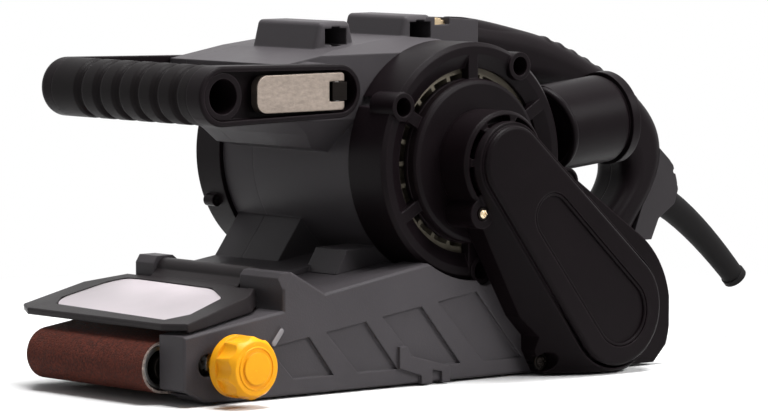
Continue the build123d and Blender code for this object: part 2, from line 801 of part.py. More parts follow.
def oval_outline(extra=0.0):
    return around((motor_x, motor_z, cover_upper_radius + extra),
                  (rear_axle_x, rear_axle_z, cover_lower_radius + extra))


def flare():
    """The oval body's flank, wide at the plate and leaning towards the front."""
    foot_y = wall_out_y - cover_plate + 1
    foot = Plane.XZ.offset(-foot_y) * around((motor_x - 2, motor_z - 2, cover_upper_radius + 5),
                                             (rear_axle_x - 7, rear_axle_z - 3, cover_lower_radius + 11.5))
    top = Plane.XZ.offset(-(drive_face_y + 2.5)) * oval_outline(1.5)
    return loft([foot.faces()[0], top.faces()[0]])


def make_drive_cover():
    plate = slab(plate_outline(), wall_out_y - cover_plate, wall_out_y)
    body = flare() & slab(plate_outline(), -far_step, 0)
    cap = slab(oval_outline(), drive_face_y, drive_face_y + 3.5)
    cap = fillet(cap.faces().sort_by(Axis.Y)[0].edges(), 1.6)
    hub = rod(motor_x, motor_z, hub_radius, disc_face_y - hub_height, disc_face_y)
    hub = chamfer(hub.edges().sort_by(Axis.Y)[0], 1.2)
    lug_x, lug_z = lug_place()
    lug = rod(lug_x, lug_z, cover_lug_radius, disc_face_y - hub_height, disc_face_y)
    shell = plate + body + cap + hub + lug
    inside = slab(drive_loop(roller_gap + drive_belt_thickness + 2.0), drive_inner_y, 0)
    badge = slab(badge_outline(), drive_face_y - 1, drive_face_y + badge_depth)
    hub_ring = Circle(hub_radius - 1.8) - Circle(cover_upper_radius + 0.6)
    slots = [
        Rot(0, 0, 52 + turn * 50) * (hub_ring & Pos(hub_radius, 0) * Rectangle(hub_radius, hub_vent_length))
        for turn in range(hub_vents)
    ]
    vents = [slab(Pos(motor_x, motor_z) * slot, disc_face_y - hub_height - 1, disc_face_y - hub_height + 5)
             for slot in slots]
    screw_holes = [rod(x, z, 2.1, -far_step, 0) for x, z in cover_screw_places()]
    seats = [slab(seat, -far_step, head_y + screw_head) for seat,
             head_y in zip(seat_outlines(), cover_head_places())]
    return shell - inside - badge - vents - screw_holes - seats


def badge_outline():
    """Recessed bare panel on the cover's face, a tapered oval along the drive belt's line."""
    span_x = rear_axle_x - motor_x
    span_z = rear_axle_z - motor_z
    return around((motor_x + 0.36 * span_x, motor_z + 0.36 * span_z, badge_upper_radius),
                  (motor_x + 1.02 * span_x, motor_z + 1.02 * span_z, badge_lower_radius))


screw_head = 1.4


def seat_outlines():
    """The round room for each cover screw's head."""
    return [Pos(x, z) * Circle(radius) for (x, z), radius in zip(cover_screw_places(), (3.0, 4.2, 5.0))]


def cover_head_places():
    """Y of the outer face of each cover screw's head."""
    plate_face_y = wall_out_y - cover_plate
    return disc_face_y - hub_height - 0.4, plate_face_y - screw_head, plate_face_y - 0.6


def cover_screw_places():
    return lug_place(), (cover_front_x + 5.0, wall_bottom + 5.0), cover_boss()


def make_cover_screws():
    screws = []
    for (x, z), head_y, radius in zip(cover_screw_places(), cover_head_places(), (2.6, 3.4, 3.4)):
        head = rod(x, z, radius, head_y, head_y + screw_head)
        screws.append(head + rod(x, z, 2.0, head_y, wall_out_y))
    return Compound(screws)


# Motor end cover with its ring of vents, and the far end cap
def below_belt_line(gap):
    """Everything under a line that runs the given gap above the belt's upper run."""
    front_x = front_axle_x - 50
    rear_x = rear_axle_x + 90
    return slab(Polygon((front_x, -far_step), (rear_x, -far_step), (rear_x, above_belt(rear_x, gap)),
                        (front_x, above_belt(front_x, gap))), -far_step, far_step)


def duct_block(grow):
    """The duct from the barrel to the dust port, or the room round it."""
    return block(80 - grow, port_flange_x + grow, passage_near_y - 2 - grow, passage_far_y + 6 + grow,
                 passage_low_z - 2.5 - grow, passage_high_z + 5.5 + grow)


def dust_passage(x_front, x_rear):
    """The way for the dust from the barrel into the port, between two places along the tool."""
    return block(x_front, x_rear, passage_near_y, passage_far_y, passage_low_z, passage_high_z)


def make_motor_end_cover():
    """A ring with a dished floor, six spokes over its slots, a raised disc and four tubular bolt bosses."""
    wall = cover_radius - cover_wall - 0.5
    shell = turned(
        motor_x, motor_z,
        (wall, barrel_near_y), (cover_radius, barrel_near_y), (cover_radius, cover_face_y + 1.6),
        (cover_radius - 1.6, cover_face_y), (rim_inner, cover_face_y),
        (disc_radius + vent_width + 0.5, dish_y),
        (disc_radius, dish_y), (disc_radius, disc_face_y + 2.0), (disc_radius - 0.6, disc_face_y + 0.6),
        (disc_radius - 2.0, disc_face_y), (motor_shaft_radius + 1, disc_face_y),
        (motor_shaft_radius + 1, cover_face_y - 0.4),
        (motor_bearing_radius, cover_face_y - 0.4),
        (motor_bearing_radius, cover_face_y - 0.4 + bearing_width),
        (motor_bearing_radius + 3, cover_face_y - 0.4 + bearing_width),
        (motor_bearing_radius + 3, cover_inner_y),
        (wall, cover_inner_y),
    )
    lap = ring(motor_x, motor_z, cover_radius, barrel_radius + running_fit, barrel_near_y, band_rear_y)
    lap = lap - below_belt_line(belt_clearance) - duct_block(slip)
    bosses = [rod(*on_motor(boss_circle, angle), boss_radius, cover_face_y - 1.2, barrel_near_y)
              for angle in boss_angles]
    holes = [rod(*on_motor(boss_circle, angle), boss_hole, -far_step, 0) for angle in boss_angles]
    slot_inner = disc_radius + 0.3
    vents = Circle(slot_inner + vent_width) - Circle(slot_inner)
    spokes = []
    for spoke in range(vent_spokes):
        turn = Rot(0, 0, 360 / vent_spokes * (spoke + 0.5))
        vents = vents - turn * Pos(slot_inner, 0) * Rectangle(3 * vent_width, spoke_width)
        bar = Rectangle(rim_inner - disc_radius + 1, spoke_width)
        bar = turn * Pos((disc_radius + rim_inner) / 2, 0) * bar
        spokes.append(slab(Pos(motor_x, motor_z) * bar, cover_face_y, dish_y + 0.5))
    vents = slab(Pos(motor_x, motor_z) * vents, cover_face_y - 5, cover_inner_y + 1)
    return shell + lap - vents + spokes + bosses - holes


def make_cover_bolts():
    bolts = []
    for angle in boss_angles:
        x, z = on_motor(boss_circle, angle)
        bolts.append(rod(x, z, boss_hole - 0.05, cover_face_y + bolt_sink, barrel_near_y))
    return Compound(bolts)


def make_far_end_cap():
    shell = turned(
        motor_x, motor_z,
        (cover_radius - cover_wall - 1, barrel_far_y), (cover_radius, barrel_far_y),
        (cover_radius, far_cap_y - 7),
        (cover_radius - 6.5, far_cap_y), (motor_shaft_radius + 4, far_cap_y),
        (motor_shaft_radius + 4, far_cap_y - cover_wall),
        (motor_bearing_radius, far_cap_y - cover_wall),
        (motor_bearing_radius, far_cap_y - cover_wall - bearing_width),
        (motor_bearing_radius + 3, far_cap_y - cover_wall - bearing_width),
        (motor_bearing_radius + 3, far_cap_y - cover_wall),
        (cover_radius - 8, far_cap_y - cover_wall), (cover_radius - cover_wall - 1, far_cap_y - 8),
    )
    slot = Pos(28, 0) * SlotOverall(18, 4)
    slots = [
        slab(Pos(motor_x, motor_z) * Rot(0, 0, (turn + 0.5) * 360 / far_vents) * slot,
             far_cap_y - cover_wall - 1, far_cap_y + 1)
        for turn in range(far_vents)
    ]
    lug = ring(*on_motor(far_lug_circle, far_lug_angle), far_lug_radius, far_lug_radius / 2,
               far_cap_y - 16.5, far_cap_y - 10.5)
    lug = lug - rod(motor_x, motor_z, cover_radius - 0.6, -far_step, far_step)
    return shell - slots + lug


# Motor inside
def make_motor_shaft():
    return rod(motor_x, motor_z, motor_shaft_radius, pulley_near_y - 2, far_cap_y - cover_wall - 0.5)


def make_armature():
    core = turned(
        motor_x, motor_z,
        (motor_shaft_radius, core_front_y - winding_overhang), (16, core_front_y - winding_overhang),
        (20, core_front_y),
        (armature_radius, core_front_y), (armature_radius, core_rear_y), (20, core_rear_y),
        (16, core_rear_y + winding_overhang - 2), (motor_shaft_radius, core_rear_y + winding_overhang - 2),
    )
    return core


commutator_y = core_rear_y + winding_overhang


def make_commutator():
    return ring(motor_x, motor_z, commutator_radius, motor_shaft_radius, commutator_y - 1,
                commutator_y + commutator_length)


def make_cooling_fan():
    plate_y = barrel_near_y - 1.0
    hub = ring(motor_x, motor_z, 11, motor_shaft_radius, plate_y - 4, plate_y)
    plate = ring(motor_x, motor_z, fan_radius, 10, plate_y - fan_plate, plate_y)
    inner = 21.0
    blades = [
        Pos(motor_x, 0, motor_z) * Rot(0, turn * 360 / fan_blades, 0)
        * block(inner, fan_radius, plate_y - fan_plate - fan_depth, plate_y - fan_plate, -0.9, 0.9)
        for turn in range(fan_blades)
    ]
    front_y = plate_y - fan_plate - fan_depth
    rim = ring(motor_x, motor_z, fan_radius, fan_radius - fan_rim, front_y, front_y + 1.0)
    return plate + hub + blades + rim


def make_stator():
    return ring(motor_x, motor_z, barrel_bore - 0.1, armature_radius + armature_gap, core_front_y,
                core_rear_y)


def make_stator_coils():
    outer = barrel_bore - 4
    inner = armature_radius + armature_gap + 1
    near = ring(motor_x, motor_z, outer, inner, core_front_y - winding_overhang, core_front_y)
    far = ring(motor_x, motor_z, outer, inner, core_rear_y, core_rear_y + winding_overhang - 2)
    return Compound([near, far])


def make_motor_bearings():
    inner = motor_shaft_radius + running_fit
    near_y = cover_face_y - 0.4
    far_y = far_cap_y - cover_wall
    near = ring(motor_x, motor_z, motor_bearing_radius, inner, near_y, near_y + bearing_width)
    far = ring(motor_x, motor_z, motor_bearing_radius, inner, far_y - bearing_width, far_y)
    return Compound([near, far])


brush_y = commutator_y + commutator_length / 2
brush_start = commutator_radius + slip


def brush_box(side, start, stop, grow):
    x_low = motor_x + min(side * start, side * stop)
    x_high = motor_x + max(side * start, side * stop)
    return block(x_low, x_high, brush_y - brush_width / 2 - grow, brush_y + brush_width / 2 + grow,
                 motor_z - brush_height / 2 - grow, motor_z + brush_height / 2 + grow)


def make_brushes():
    return Compound([brush_box(side, brush_start, brush_start + brush_length, 0) for side in (-1, 1)])


def make_brush_holders():
    start = brush_start + 3
    holders = []
    for side in (-1, 1):
        holder = brush_box(side, start, barrel_bore - 1, 1.5)
        holders.append(holder - brush_box(side, start - 1, barrel_bore - 2, 0))
    return Compound(holders)


# Motor housing, made whole and parted at the seam
def rounded_boss(boss):
    """A boss with its top and its upright edges rounded."""
    upright = boss.edges().filter_by(lambda edge: abs((edge % 0.5).Z) > 0.5)
    return fillet(upright + boss.faces().sort_by(Axis.Z)[-1].edges(), boss_round)


def housing_body():
    barrel = rod(motor_x, motor_z, barrel_radius, barrel_near_y, barrel_far_y)
    foot = 200.0
    pillar = slab(Polygon((-4, 30), (-4, above_belt(-4, 6)), (10.5, 64), (motor_x, motor_z), (motor_x, 30)),
                  pillar_near_y, barrel_far_y - 2)
    small_pillar = slab(Polygon((-4.2, 30), (-4.2, above_belt(-4.2, deck_rise)), (1.9, 54.2), (24, 54.8),
                                (motor_x, motor_z), (motor_x, 30)),
                        small_pillar_near_y, small_pillar_far_y)
    plinth_top = deck_rise + plinth_rise
    plinth = slab(Polygon((-36, 30), (-36, above_belt(-36, plinth_top)), (20, above_belt(20, plinth_top)),
                          (20, 30)),
                  plinth_near_y, barrel_far_y - 2)
    rear_leg = slab(Polygon((motor_x, 30), (96, 30), (100, 66), (88, 78), (motor_x, motor_z)),
                    band_rear_y, barrel_far_y - 2)
    shoulder = slab(Polygon((-31, 111), (-31, 130.5), (-3, 135.2), (19.5, 137.6), (43, 139.4), (60, 137.8),
                            (74, 129.5),
                            (60, 120), (12, 100), (5, 93), (-6.4, 95.3), (-13.8, 101.1)),
                    band_rear_y, far_arm_inner_y - slip)
    gusset = Polygon((band_rear_y - 10, 116.7), (band_rear_y + 16, 92.8), (band_rear_y - 10, 80))
    roof_slope = Polygon((band_rear_y - 1, 133.1), (boss_near_y, 139.8), (boss_near_y, 160),
                         (band_rear_y - 1, 160))
    across = Plane.YZ.offset(-far_step)
    shoulder = shoulder - extrude(across * gusset, amount=2 * far_step, dir=(1, 0, 0))
    shoulder = shoulder - extrude(across * roof_slope, amount=2 * far_step, dir=(1, 0, 0))
    spacer = rod(handle_pivot_x, handle_pivot_z, arm_rear_radius, -arm_inner_y + slip, band_rear_y)
    half_foot = boss_foot_width / 2
    half_top = boss_width / 2
    front_top = boss_top - socket_drop
    front_boss = slab(
        Polygon((front_socket_x - half_foot, boss_foot_z), (front_socket_x - half_top, front_top),
                (front_socket_x + half_top, front_top), (front_socket_x + half_foot, boss_foot_z)),
        boss_near_y, front_boss_far_y)
    tail_x = rear_socket_x + rear_boss_tail
    rear_boss = slab(
        Polygon((rear_socket_x - half_foot, boss_foot_z), (rear_socket_x - half_top, boss_top),
                (tail_x, boss_top), (tail_x, boss_foot_z)),
        boss_near_y, rear_boss_far_y)
    front_boss = rounded_boss(front_boss)
    rear_boss = rounded_boss(rear_boss)
    half_root = handle_width / 2 + 2
    root = slab(Polygon((52, 120), (tail_x - 3, root_top + 0.8), (72, root_top + 0.2),
                        (handle_front_x, root_top - 1),
                        (handle_front_x, 117), (78, 108), (60, 110)), -half_root, half_root)
    lap_room = ring(motor_x, motor_z, cover_radius, barrel_radius, -far_step, band_rear_y)
    body = barrel + pillar + small_pillar + plinth + rear_leg + shoulder + spacer
    body = body + front_boss + rear_boss + root - lap_room + duct_block(0)
    under_belt = slab(
        Polygon((-150, -foot), (200, -foot), (200, above_belt(200, belt_clearance)),
                (deck_rear_x, above_belt(deck_rear_x, belt_clearance)),
                (deck_rear_x, above_belt(deck_rear_x, deck_rise)), (-150, above_belt(-150, deck_rise))),
        -far_step, far_step)
    guard_room = rod(rear_axle_x, rear_axle_z, guard_outer, -far_step, far_step)
    cover_room = [rod(motor_x, motor_z, cover_radius, -far_step, barrel_near_y)]
    cover_room += [rod(*on_motor(boss_circle, angle), boss_radius, -far_step, barrel_near_y)
                   for angle in boss_angles]
    bore = rod(motor_x, motor_z, barrel_bore, -far_step, far_step)
    bolt_hole = rod(handle_pivot_x, handle_pivot_z, clamp_bolt_radius + running_fit, -far_step, far_step)
    sockets = []
    for x, z in ((front_socket_x, socket_z - socket_drop), (rear_socket_x, socket_z)):
        half_high = socket_height / 2
        half_key = socket_key / 2
        key_high = half_high + socket_key_depth
        sockets.append(block(x - socket_width / 2, x + socket_width / 2, boss_near_y - 1,
                             boss_near_y + socket_depth,
                             z - half_high, z + half_high))
        sockets.append(block(x - half_key, x + half_key, boss_near_y - 1, boss_near_y + 6, z - key_high,
                             z + key_high))
    dial_slot = rod(dial_x, dial_z, dial_radius + slip, dial_y - dial_width / 2 - slip,
                    dial_y + dial_width / 2 + slip)
    dial_axle = rod(dial_x, dial_z, 2.0 + running_fit, dial_y - dial_axle_half, dial_y + dial_axle_half)
    window = block(dial_x - dial_window / 2, dial_x + dial_window / 2, -half_root - 1, dial_y,
                   root_top - 2.6, root_top + 4)
    passage = dust_passage(70, port_flange_x + 1)
    half_board = board_width / 2 + slip
    board_room = block(62, 78, board_y - half_board, board_y + half_board, root_top - 9.5, root_top - 1.5)
    body = body - under_belt - guard_room - cover_room - bore - bolt_hole - sockets
    return body - dial_slot - dial_axle - window - passage - board_room


dial_z = root_top - dial_radius + dial_proud
housing = housing_body()


def make_housing_near():
    return housing & block(-far_step, far_step, -far_step, seam_y, -far_step, far_step)


def make_housing_far():
    return housing & block(-far_step, far_step, seam_y, far_step, -far_step, far_step)


def make_speed_dial():
    wheel = rod(dial_x, dial_z, dial_radius, dial_y - dial_width / 2, dial_y + dial_width / 2)
    tooth = Pos(dial_radius, 0, 0) * Rot(0, 45, 0) * Box(dial_tooth, dial_width + 1, dial_tooth)
    pitch = 360 / dial_teeth
    teeth = [Pos(dial_x, dial_y, dial_z) * Rot(0, turn * pitch, 0) * tooth for turn in range(dial_teeth)]
    axle = rod(dial_x, dial_z, 2.0, dial_y - dial_axle_half + slip, dial_y + dial_axle_half - slip)
    return wheel - teeth + axle


def make_speed_board():
    half = board_width / 2
    board = block(62.5, 77.5, board_y - half, board_y + half, root_top - 9, root_top - 7)
    return board + block(66, 74, board_y - half + 2.5, board_y + half - 2.5, root_top - 7, root_top - 2.5)


# Front handle: two arms and a cross tube in one moulding, with a ribbed sleeve
def arm_outline(inset):
    return around((grip_x, handle_pivot_z, grip_radius - inset),
                  (handle_pivot_x, handle_pivot_z, arm_rear_radius - inset))


def make_front_handle():
    near = slab(arm_outline(0), -arm_outer_y, -arm_inner_y)
    near = fillet(near.faces().sort_by(Axis.Y)[0].edges(), 1.0)
    far = slab(arm_outline(0), far_arm_inner_y, far_arm_outer_y)
    far = fillet(far.faces().sort_by(Axis.Y)[-1].edges(), 4.0)
    tube = rod(grip_x, handle_pivot_z, grip_core, -arm_inner_y, far_arm_inner_y)
    pocket = slab(arm_outline(arm_rim), -arm_outer_y - 1, -arm_outer_y + arm_pocket)
    collar = rod(grip_x, handle_pivot_z, grip_bore + 2.4, -arm_outer_y + 0.6, -arm_inner_y)
    bore = rod(grip_x, handle_pivot_z, grip_bore, -arm_outer_y - 1, arm_inner_y - 4)
    bolt_hole = rod(handle_pivot_x, handle_pivot_z, clamp_bolt_radius, -far_step, far_step)
    return near + far + tube - pocket + collar - bore - bolt_hole


def make_front_grip():
    sleeve = ring(grip_x, handle_pivot_z, grip_radius, grip_core, -arm_inner_y, far_arm_inner_y)
    first = rib_shift - rib_pitch * (grip_ribs - 1) / 2
    floor = grip_radius - rib_groove
    grooves = [
        turned(grip_x, handle_pivot_z, (floor, y - 0.8), (floor + 1.0, y - 1.6),
               (grip_radius + 0.2, y - 3.4),
               (grip_radius + 0.2, y + 3.4), (floor + 1.0, y + 1.6), (floor, y + 0.8))
        for y in (first + rib_pitch * step for step in range(grip_ribs))
    ]
    return sleeve - grooves


clamp_pin_y = -arm_outer_y + 3.2
block_low = handle_pivot_z - clamp_block / 2
block_high = handle_pivot_z + clamp_block / 2


def make_clamp_bolt():
    shank = rod(handle_pivot_x, handle_pivot_z, clamp_bolt_radius, -arm_outer_y + arm_pocket - 1,
                far_arm_outer_y)
    head = block(handle_pivot_x - clamp_block / 2, handle_pivot_x + clamp_block / 2, clamp_pin_y - 2.6,
                 -arm_outer_y + arm_pocket, block_low, block_high)
    nut = slab(Pos(handle_pivot_x, handle_pivot_z) * RegularPolygon(6.0, 6), far_arm_outer_y,
               far_arm_outer_y + 4)
    pin_hole = pin(handle_pivot_x, clamp_pin_y, clamp_pin_radius, 0, 300)
    return shank + head + nut - pin_hole


def make_clamp_pin():
    half = clamp_lever_height / 2 - 0.8
    return pin(handle_pivot_x, clamp_pin_y, clamp_pin_radius, handle_pivot_z - half, handle_pivot_z + half)


def make_clamp_lever():
    tail_x = handle_pivot_x + 2.8
    tip_x = handle_pivot_x - clamp_lever_length
    outline = Pos((tip_x + tail_x) / 2, handle_pivot_z) * Rectangle(tail_x - tip_x, clamp_lever_height)
    outline = fillet(outline.vertices().sort_by(Axis.X)[:2], clamp_lever_corner)
    outline = fillet(outline.vertices().sort_by(Axis.X)[-2:], 1.5)
    plate = slab(outline, clamp_pin_y - clamp_lever_thickness / 2, clamp_pin_y + clamp_lever_thickness / 2)
    fork = block(handle_pivot_x - clamp_block / 2 - 1.2, tail_x + 1, -far_step, far_step, block_low - slip,
                 block_high + slip)
    hole = pin(handle_pivot_x, clamp_pin_y, clamp_pin_radius + running_fit, 0, 300)
    return plate - fork - hole


# Cord sleeve at the handle's rear
sleeve_stations = 11


def sleeve_plane(share):
    """A plane across the sleeve's bent middle line, at a share of its length."""
    path = Spline((196, 68), (211.0, 60.2), (229.7, 46.8), (252.2, 25.7),
                  tangents=((1, -0.5), (0.7, -0.72)))
    spot = path @ share
    run = path % share
    return Plane((spot.X, 0, spot.Y), x_dir=(0, 1, 0), z_dir=(run.X, 0, run.Y))


def sleeve_solid(root_radius, tip_radius, reach=1.0):
    faces = []
    for step in range(sleeve_stations):
        share = reach * step / (sleeve_stations - 1)
        radius = root_radius + (tip_radius - root_radius) * share
        faces.append((sleeve_plane(share) * Circle(radius)).faces()[0])
    return loft(faces, ruled=True)


def make_cord_sleeve():
    body = sleeve_solid(sleeve_root_radius, sleeve_tip_radius)
    lip = extrude(sleeve_plane(1) * Circle(sleeve_lip_radius), amount=-2.6)
    mouth = extrude(sleeve_plane(1) * Circle(sleeve_bore), amount=-sleeve_mouth)
    return body + lip - mouth - sleeve_solid(sleeve_bore, sleeve_bore,
                                             1 - 0.9 * sleeve_mouth / sleeve_length)


# Rear handle, made whole and parted along its middle
def handle_sections():
    """Sections from front to foot: outer point, inner point, width and corner radius."""
    return (
        ((handle_front_x, 144.3), (handle_front_x, 117.5), handle_width + 2, handle_round),
        ((112, 140.4), (111, 116.5), handle_width, handle_round),
        ((147, 130.0), (139, 112.0), handle_width - 1, handle_round),
        ((178, 113.5), (161, 99.0), handle_width, handle_round),
        ((197.5, 88.5), (176.5, 79.0), handle_width, handle_round),
        ((190.5, 66.5), (171.5, 65.5), handle_width, handle_round - 1),
        ((181.5, rear_arm_top), (162, rear_arm_top), rear_arm_width, handle_round - 1),
    )


def handle_body():
    half = handle_width / 2
    faces = []
    for (outer_x, outer_z), (inner_x, inner_z), width, corner in handle_sections():
        across = Vector(outer_x - inner_x, 0, outer_z - inner_z)
        along = Vector(across.Z, 0, -across.X)
        middle = Plane(((outer_x + inner_x) / 2, 0, (outer_z + inner_z) / 2), x_dir=across, z_dir=along)
        faces.append((middle * RectangleRounded(across.length, width, corner)).faces()[0])
    bar = loft(faces) - rod(motor_x, motor_z, barrel_radius, -far_step, far_step)
    bar = bar - sleeve_solid(sleeve_root_radius, sleeve_tip_radius)
    switch_room = block(switch_low_x - slip, switch_high_x + slip, -7, 7, switch_low_z - slip,
                        switch_high_z + slip)
    trigger_room = slab(trigger_room_outline(), -trigger_width / 2 - slip, trigger_width / 2 + slip)
    lock_bore = rod(lock_x, lock_z, lock_radius + running_fit, -half - 1, -trigger_width / 2)
    trigger_pin = rod(trigger_x, trigger_z, 1.5, -9, 9)
    screw_holes = [rod(x, z, 2.0, -7, half + 1) for x, z in handle_screw_places()]
    return bar - switch_room - trigger_room - lock_bore - trigger_pin - screw_holes


switch_low_x = 120.0
switch_high_x = 140.0
switch_low_z = 122.6
switch_high_z = 128.6


def trigger_outline():
    return Polygon((trigger_x - 4, trigger_z - 4), (trigger_x + 4, trigger_z - 8),
                   (trigger_x + 18, trigger_z - 11.5),
                   (trigger_x + 28, trigger_z - 8.5), (trigger_x + 26, trigger_z - 3),
                   (trigger_x + 4, trigger_z + 1.5),
                   (trigger_x - 4, trigger_z + 2))


def trigger_room_outline():
    """Everything the trigger sweeps from released to pressed, with a gap all round."""
    about_pivot = Pos(-trigger_x, -trigger_z) * trigger_outline()
    pressed = Pos(trigger_x, trigger_z) * Rot(0, 0, trigger_travel) * about_pivot
    corners = [vertex for shape in (trigger_outline(), pressed) for vertex in shape.vertices()]
    return around(*[(vertex.X, vertex.Y, 2 * slip) for vertex in corners])


def make_trigger():
    body = slab(trigger_outline(), -trigger_width / 2, trigger_width / 2)
    body = fillet(body.edges().filter_by(Axis.Y).sort_by(Axis.Z)[:3], 2.0)
    return body - rod(trigger_x, trigger_z, 1.5 + running_fit, -20, 20)


def make_trigger_pin():
    return rod(trigger_x, trigger_z, 1.5, -9, 9)


def make_switch_block():
    return block(switch_low_x, switch_high_x, -6.5, 6.5, switch_low_z, switch_high_z)


def make_lock_button():
    half = handle_width / 2
    outer_y = -half - lock_travel
    return rod(lock_x, lock_z, lock_radius, outer_y, outer_y + lock_length)


def handle_screw_places():
    return ((98, 131), (164, 110), (184, 74))


def make_handle_screws():
    half = handle_width / 2
    return Compound([rod(x, z, 2.0, -7, half - 4) for x, z in handle_screw_places()])


rear_handle = handle_body()


def make_rear_handle_near():
    return rear_handle & block(-far_step, far_step, -far_step, 0, -far_step, far_step)


def make_rear_handle_far():
    return rear_handle & block(-far_step, far_step, 0, far_step, -far_step, far_step)


def make_handle_rear_cap():
    half = handle_width / 2 - 1
    outline = Polygon((194.0, 86.5), (199.9, 81.4), (202.4, 78.6), (204.4, 72.6), (205.4, 68.0),
                      (203.2, 61.8), (193.8, 55.9),
                      (189.5, rear_arm_top), (178, rear_arm_top))
    shape = slab(outline, -half, half)
    shape = fillet(shape.edges().filter_by(Axis.Y).sort_by(Axis.X)[-3:], 1.5)
    grooves = [rod(x, z, 1.2, -far_step, far_step) for x, z in ((203.6, 76.0), (206.0, 70.2))]
    return shape - grooves - sleeve_solid(sleeve_root_radius, sleeve_tip_radius) - rear_handle


# Dust port
def make_dust_port():
    axis = Pos(port_rear_x, port_y, port_rear_z) * Rot(0, 90 - port_slope, 0)
    length = port_rear_x - port_flange_x + 10
    tube = axis * Pos(0, 0, -length / 2) * Cylinder(port_radius, length)
    collar = axis * Pos(0, 0, -port_collar / 2) * Cylinder(port_radius + 1.2, port_collar)
    groove = Cylinder(port_radius + 2, 1.8) - Cylinder(port_radius - 0.9, 1.8)
    groove = axis * Pos(0, 0, -port_collar - 0.9) * groove
    bore = axis * Pos(0, 0, -port_bore_length / 2) * Cylinder(port_bore, port_bore_length)
    front = block(-far_step, port_flange_x, -far_step, far_step, -far_step, far_step)
    ring_room = rod(motor_x, motor_z, cover_radius + boss_radius + 1, -far_step, barrel_near_y + 0.5)
    passage = dust_passage(port_flange_x - 1, port_rear_x - port_bore_length + 2)
    band_room = rod(motor_x, motor_z, cover_radius + slip, -far_step, band_rear_y + slip)
    return tube + collar - groove - bore - front - ring_room - band_room - passage


NODES = {
    "sanding_belt": make_sanding_belt, "slip_pad": make_slip_pad, "platen": make_platen,
    "front_roller": make_front_roller, "roller_bushes": make_roller_bushes, "front_axle": make_front_axle,
    "axle_yoke": make_yoke, "yoke_pivot_pin": make_yoke_pivot_pin, "tension_carriage": make_carriage,
    "tension_spring": make_tension_spring, "tension_lever": make_tension_lever, "lever_pin": make_lever_pin,
    "tracking_knob": make_tracking_knob, "base_frame": make_base_frame, "front_flap": make_flap,
    "flap_label": make_flap_label, "flap_hinge_pin": make_hinge_pin, "drum_tyre": make_drum_tyre,
    "drum_core": make_drum_core, "drum_shaft": make_drum_shaft, "drum_bearings": make_drum_bearings,
    "driven_pulley": make_driven_pulley, "drive_pulley": make_drive_pulley, "drive_belt": make_drive_belt,
    "drive_cover": make_drive_cover, "drive_cover_screws": make_cover_screws,
    "motor_end_cover": make_motor_end_cover, "end_cover_bolts": make_cover_bolts,
    "far_end_cap": make_far_end_cap,
    "motor_shaft": make_motor_shaft, "armature": make_armature, "commutator": make_commutator,
    "cooling_fan": make_cooling_fan, "stator": make_stator, "stator_coils": make_stator_coils,
    "motor_bearings": make_motor_bearings, "brushes": make_brushes, "brush_holders": make_brush_holders,
    "housing_near": make_housing_near, "housing_far": make_housing_far, "speed_dial": make_speed_dial,
    "speed_board": make_speed_board, "front_handle": make_front_handle, "front_grip": make_front_grip,
    "clamp_bolt": make_clamp_bolt, "clamp_pin": make_clamp_pin, "clamp_lever": make_clamp_lever,
    "rear_handle_near": make_rear_handle_near, "rear_handle_far": make_rear_handle_far,
    "handle_rear_cap": make_handle_rear_cap, "handle_screws": make_handle_screws, "trigger": make_trigger,
    "trigger_pin": make_trigger_pin, "switch_block": make_switch_block, "lock_button": make_lock_button,
    "cord_sleeve": make_cord_sleeve, "dust_port": make_dust_port,
}

os.makedirs("parts", exist_ok=True)
for name, make in NODES.items():
    export_step(make(), f"parts/{name}.step")
print("sanding belt length", round(belt_outline(belt_thickness / 2).wire().length, 1))
print("drive belt length", round(drive_loop(roller_gap + drive_belt_thickness / 2).wire().length, 1))
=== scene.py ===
import json
import math

import bpy
import numpy as np
from mathutils import Matrix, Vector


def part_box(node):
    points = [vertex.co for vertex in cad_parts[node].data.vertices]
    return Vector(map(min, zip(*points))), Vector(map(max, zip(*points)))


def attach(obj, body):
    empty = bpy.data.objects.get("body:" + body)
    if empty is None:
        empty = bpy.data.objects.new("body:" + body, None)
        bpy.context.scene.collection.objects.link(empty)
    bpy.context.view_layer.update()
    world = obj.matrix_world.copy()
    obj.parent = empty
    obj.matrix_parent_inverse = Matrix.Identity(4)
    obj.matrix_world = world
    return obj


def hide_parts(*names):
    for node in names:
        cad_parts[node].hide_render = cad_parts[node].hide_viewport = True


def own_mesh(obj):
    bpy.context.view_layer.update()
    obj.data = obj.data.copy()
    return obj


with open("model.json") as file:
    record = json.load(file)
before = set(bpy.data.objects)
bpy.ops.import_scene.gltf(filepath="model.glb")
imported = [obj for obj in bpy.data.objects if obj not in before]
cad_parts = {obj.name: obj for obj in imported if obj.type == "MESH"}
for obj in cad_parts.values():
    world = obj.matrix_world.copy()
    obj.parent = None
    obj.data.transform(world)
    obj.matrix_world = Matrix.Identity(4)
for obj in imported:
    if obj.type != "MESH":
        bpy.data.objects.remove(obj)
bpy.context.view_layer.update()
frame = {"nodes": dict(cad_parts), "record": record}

scene = bpy.context.scene
scene.view_settings.view_transform = "Standard"
nodes = frame["nodes"]

PHOTO_WIDTH = 768
FULL_TURN = 2.0 * np.pi
UNIT = (0.0, 1.0)


# Shader helpers

SOCKET_KINDS = {"value": "NodeSocketFloat", "vector": "NodeSocketVector"}
MIX_INPUTS = (0, 6, 7)  # the Mix node's factor and its two colours
MIX_RESULT = 2


def feed(tree, source, socket):
    """Gives a socket its value: a link from another socket, or plain numbers."""
    if isinstance(source, bpy.types.NodeSocket):
        tree.links.new(source, socket)
    else:
        socket.default_value = source


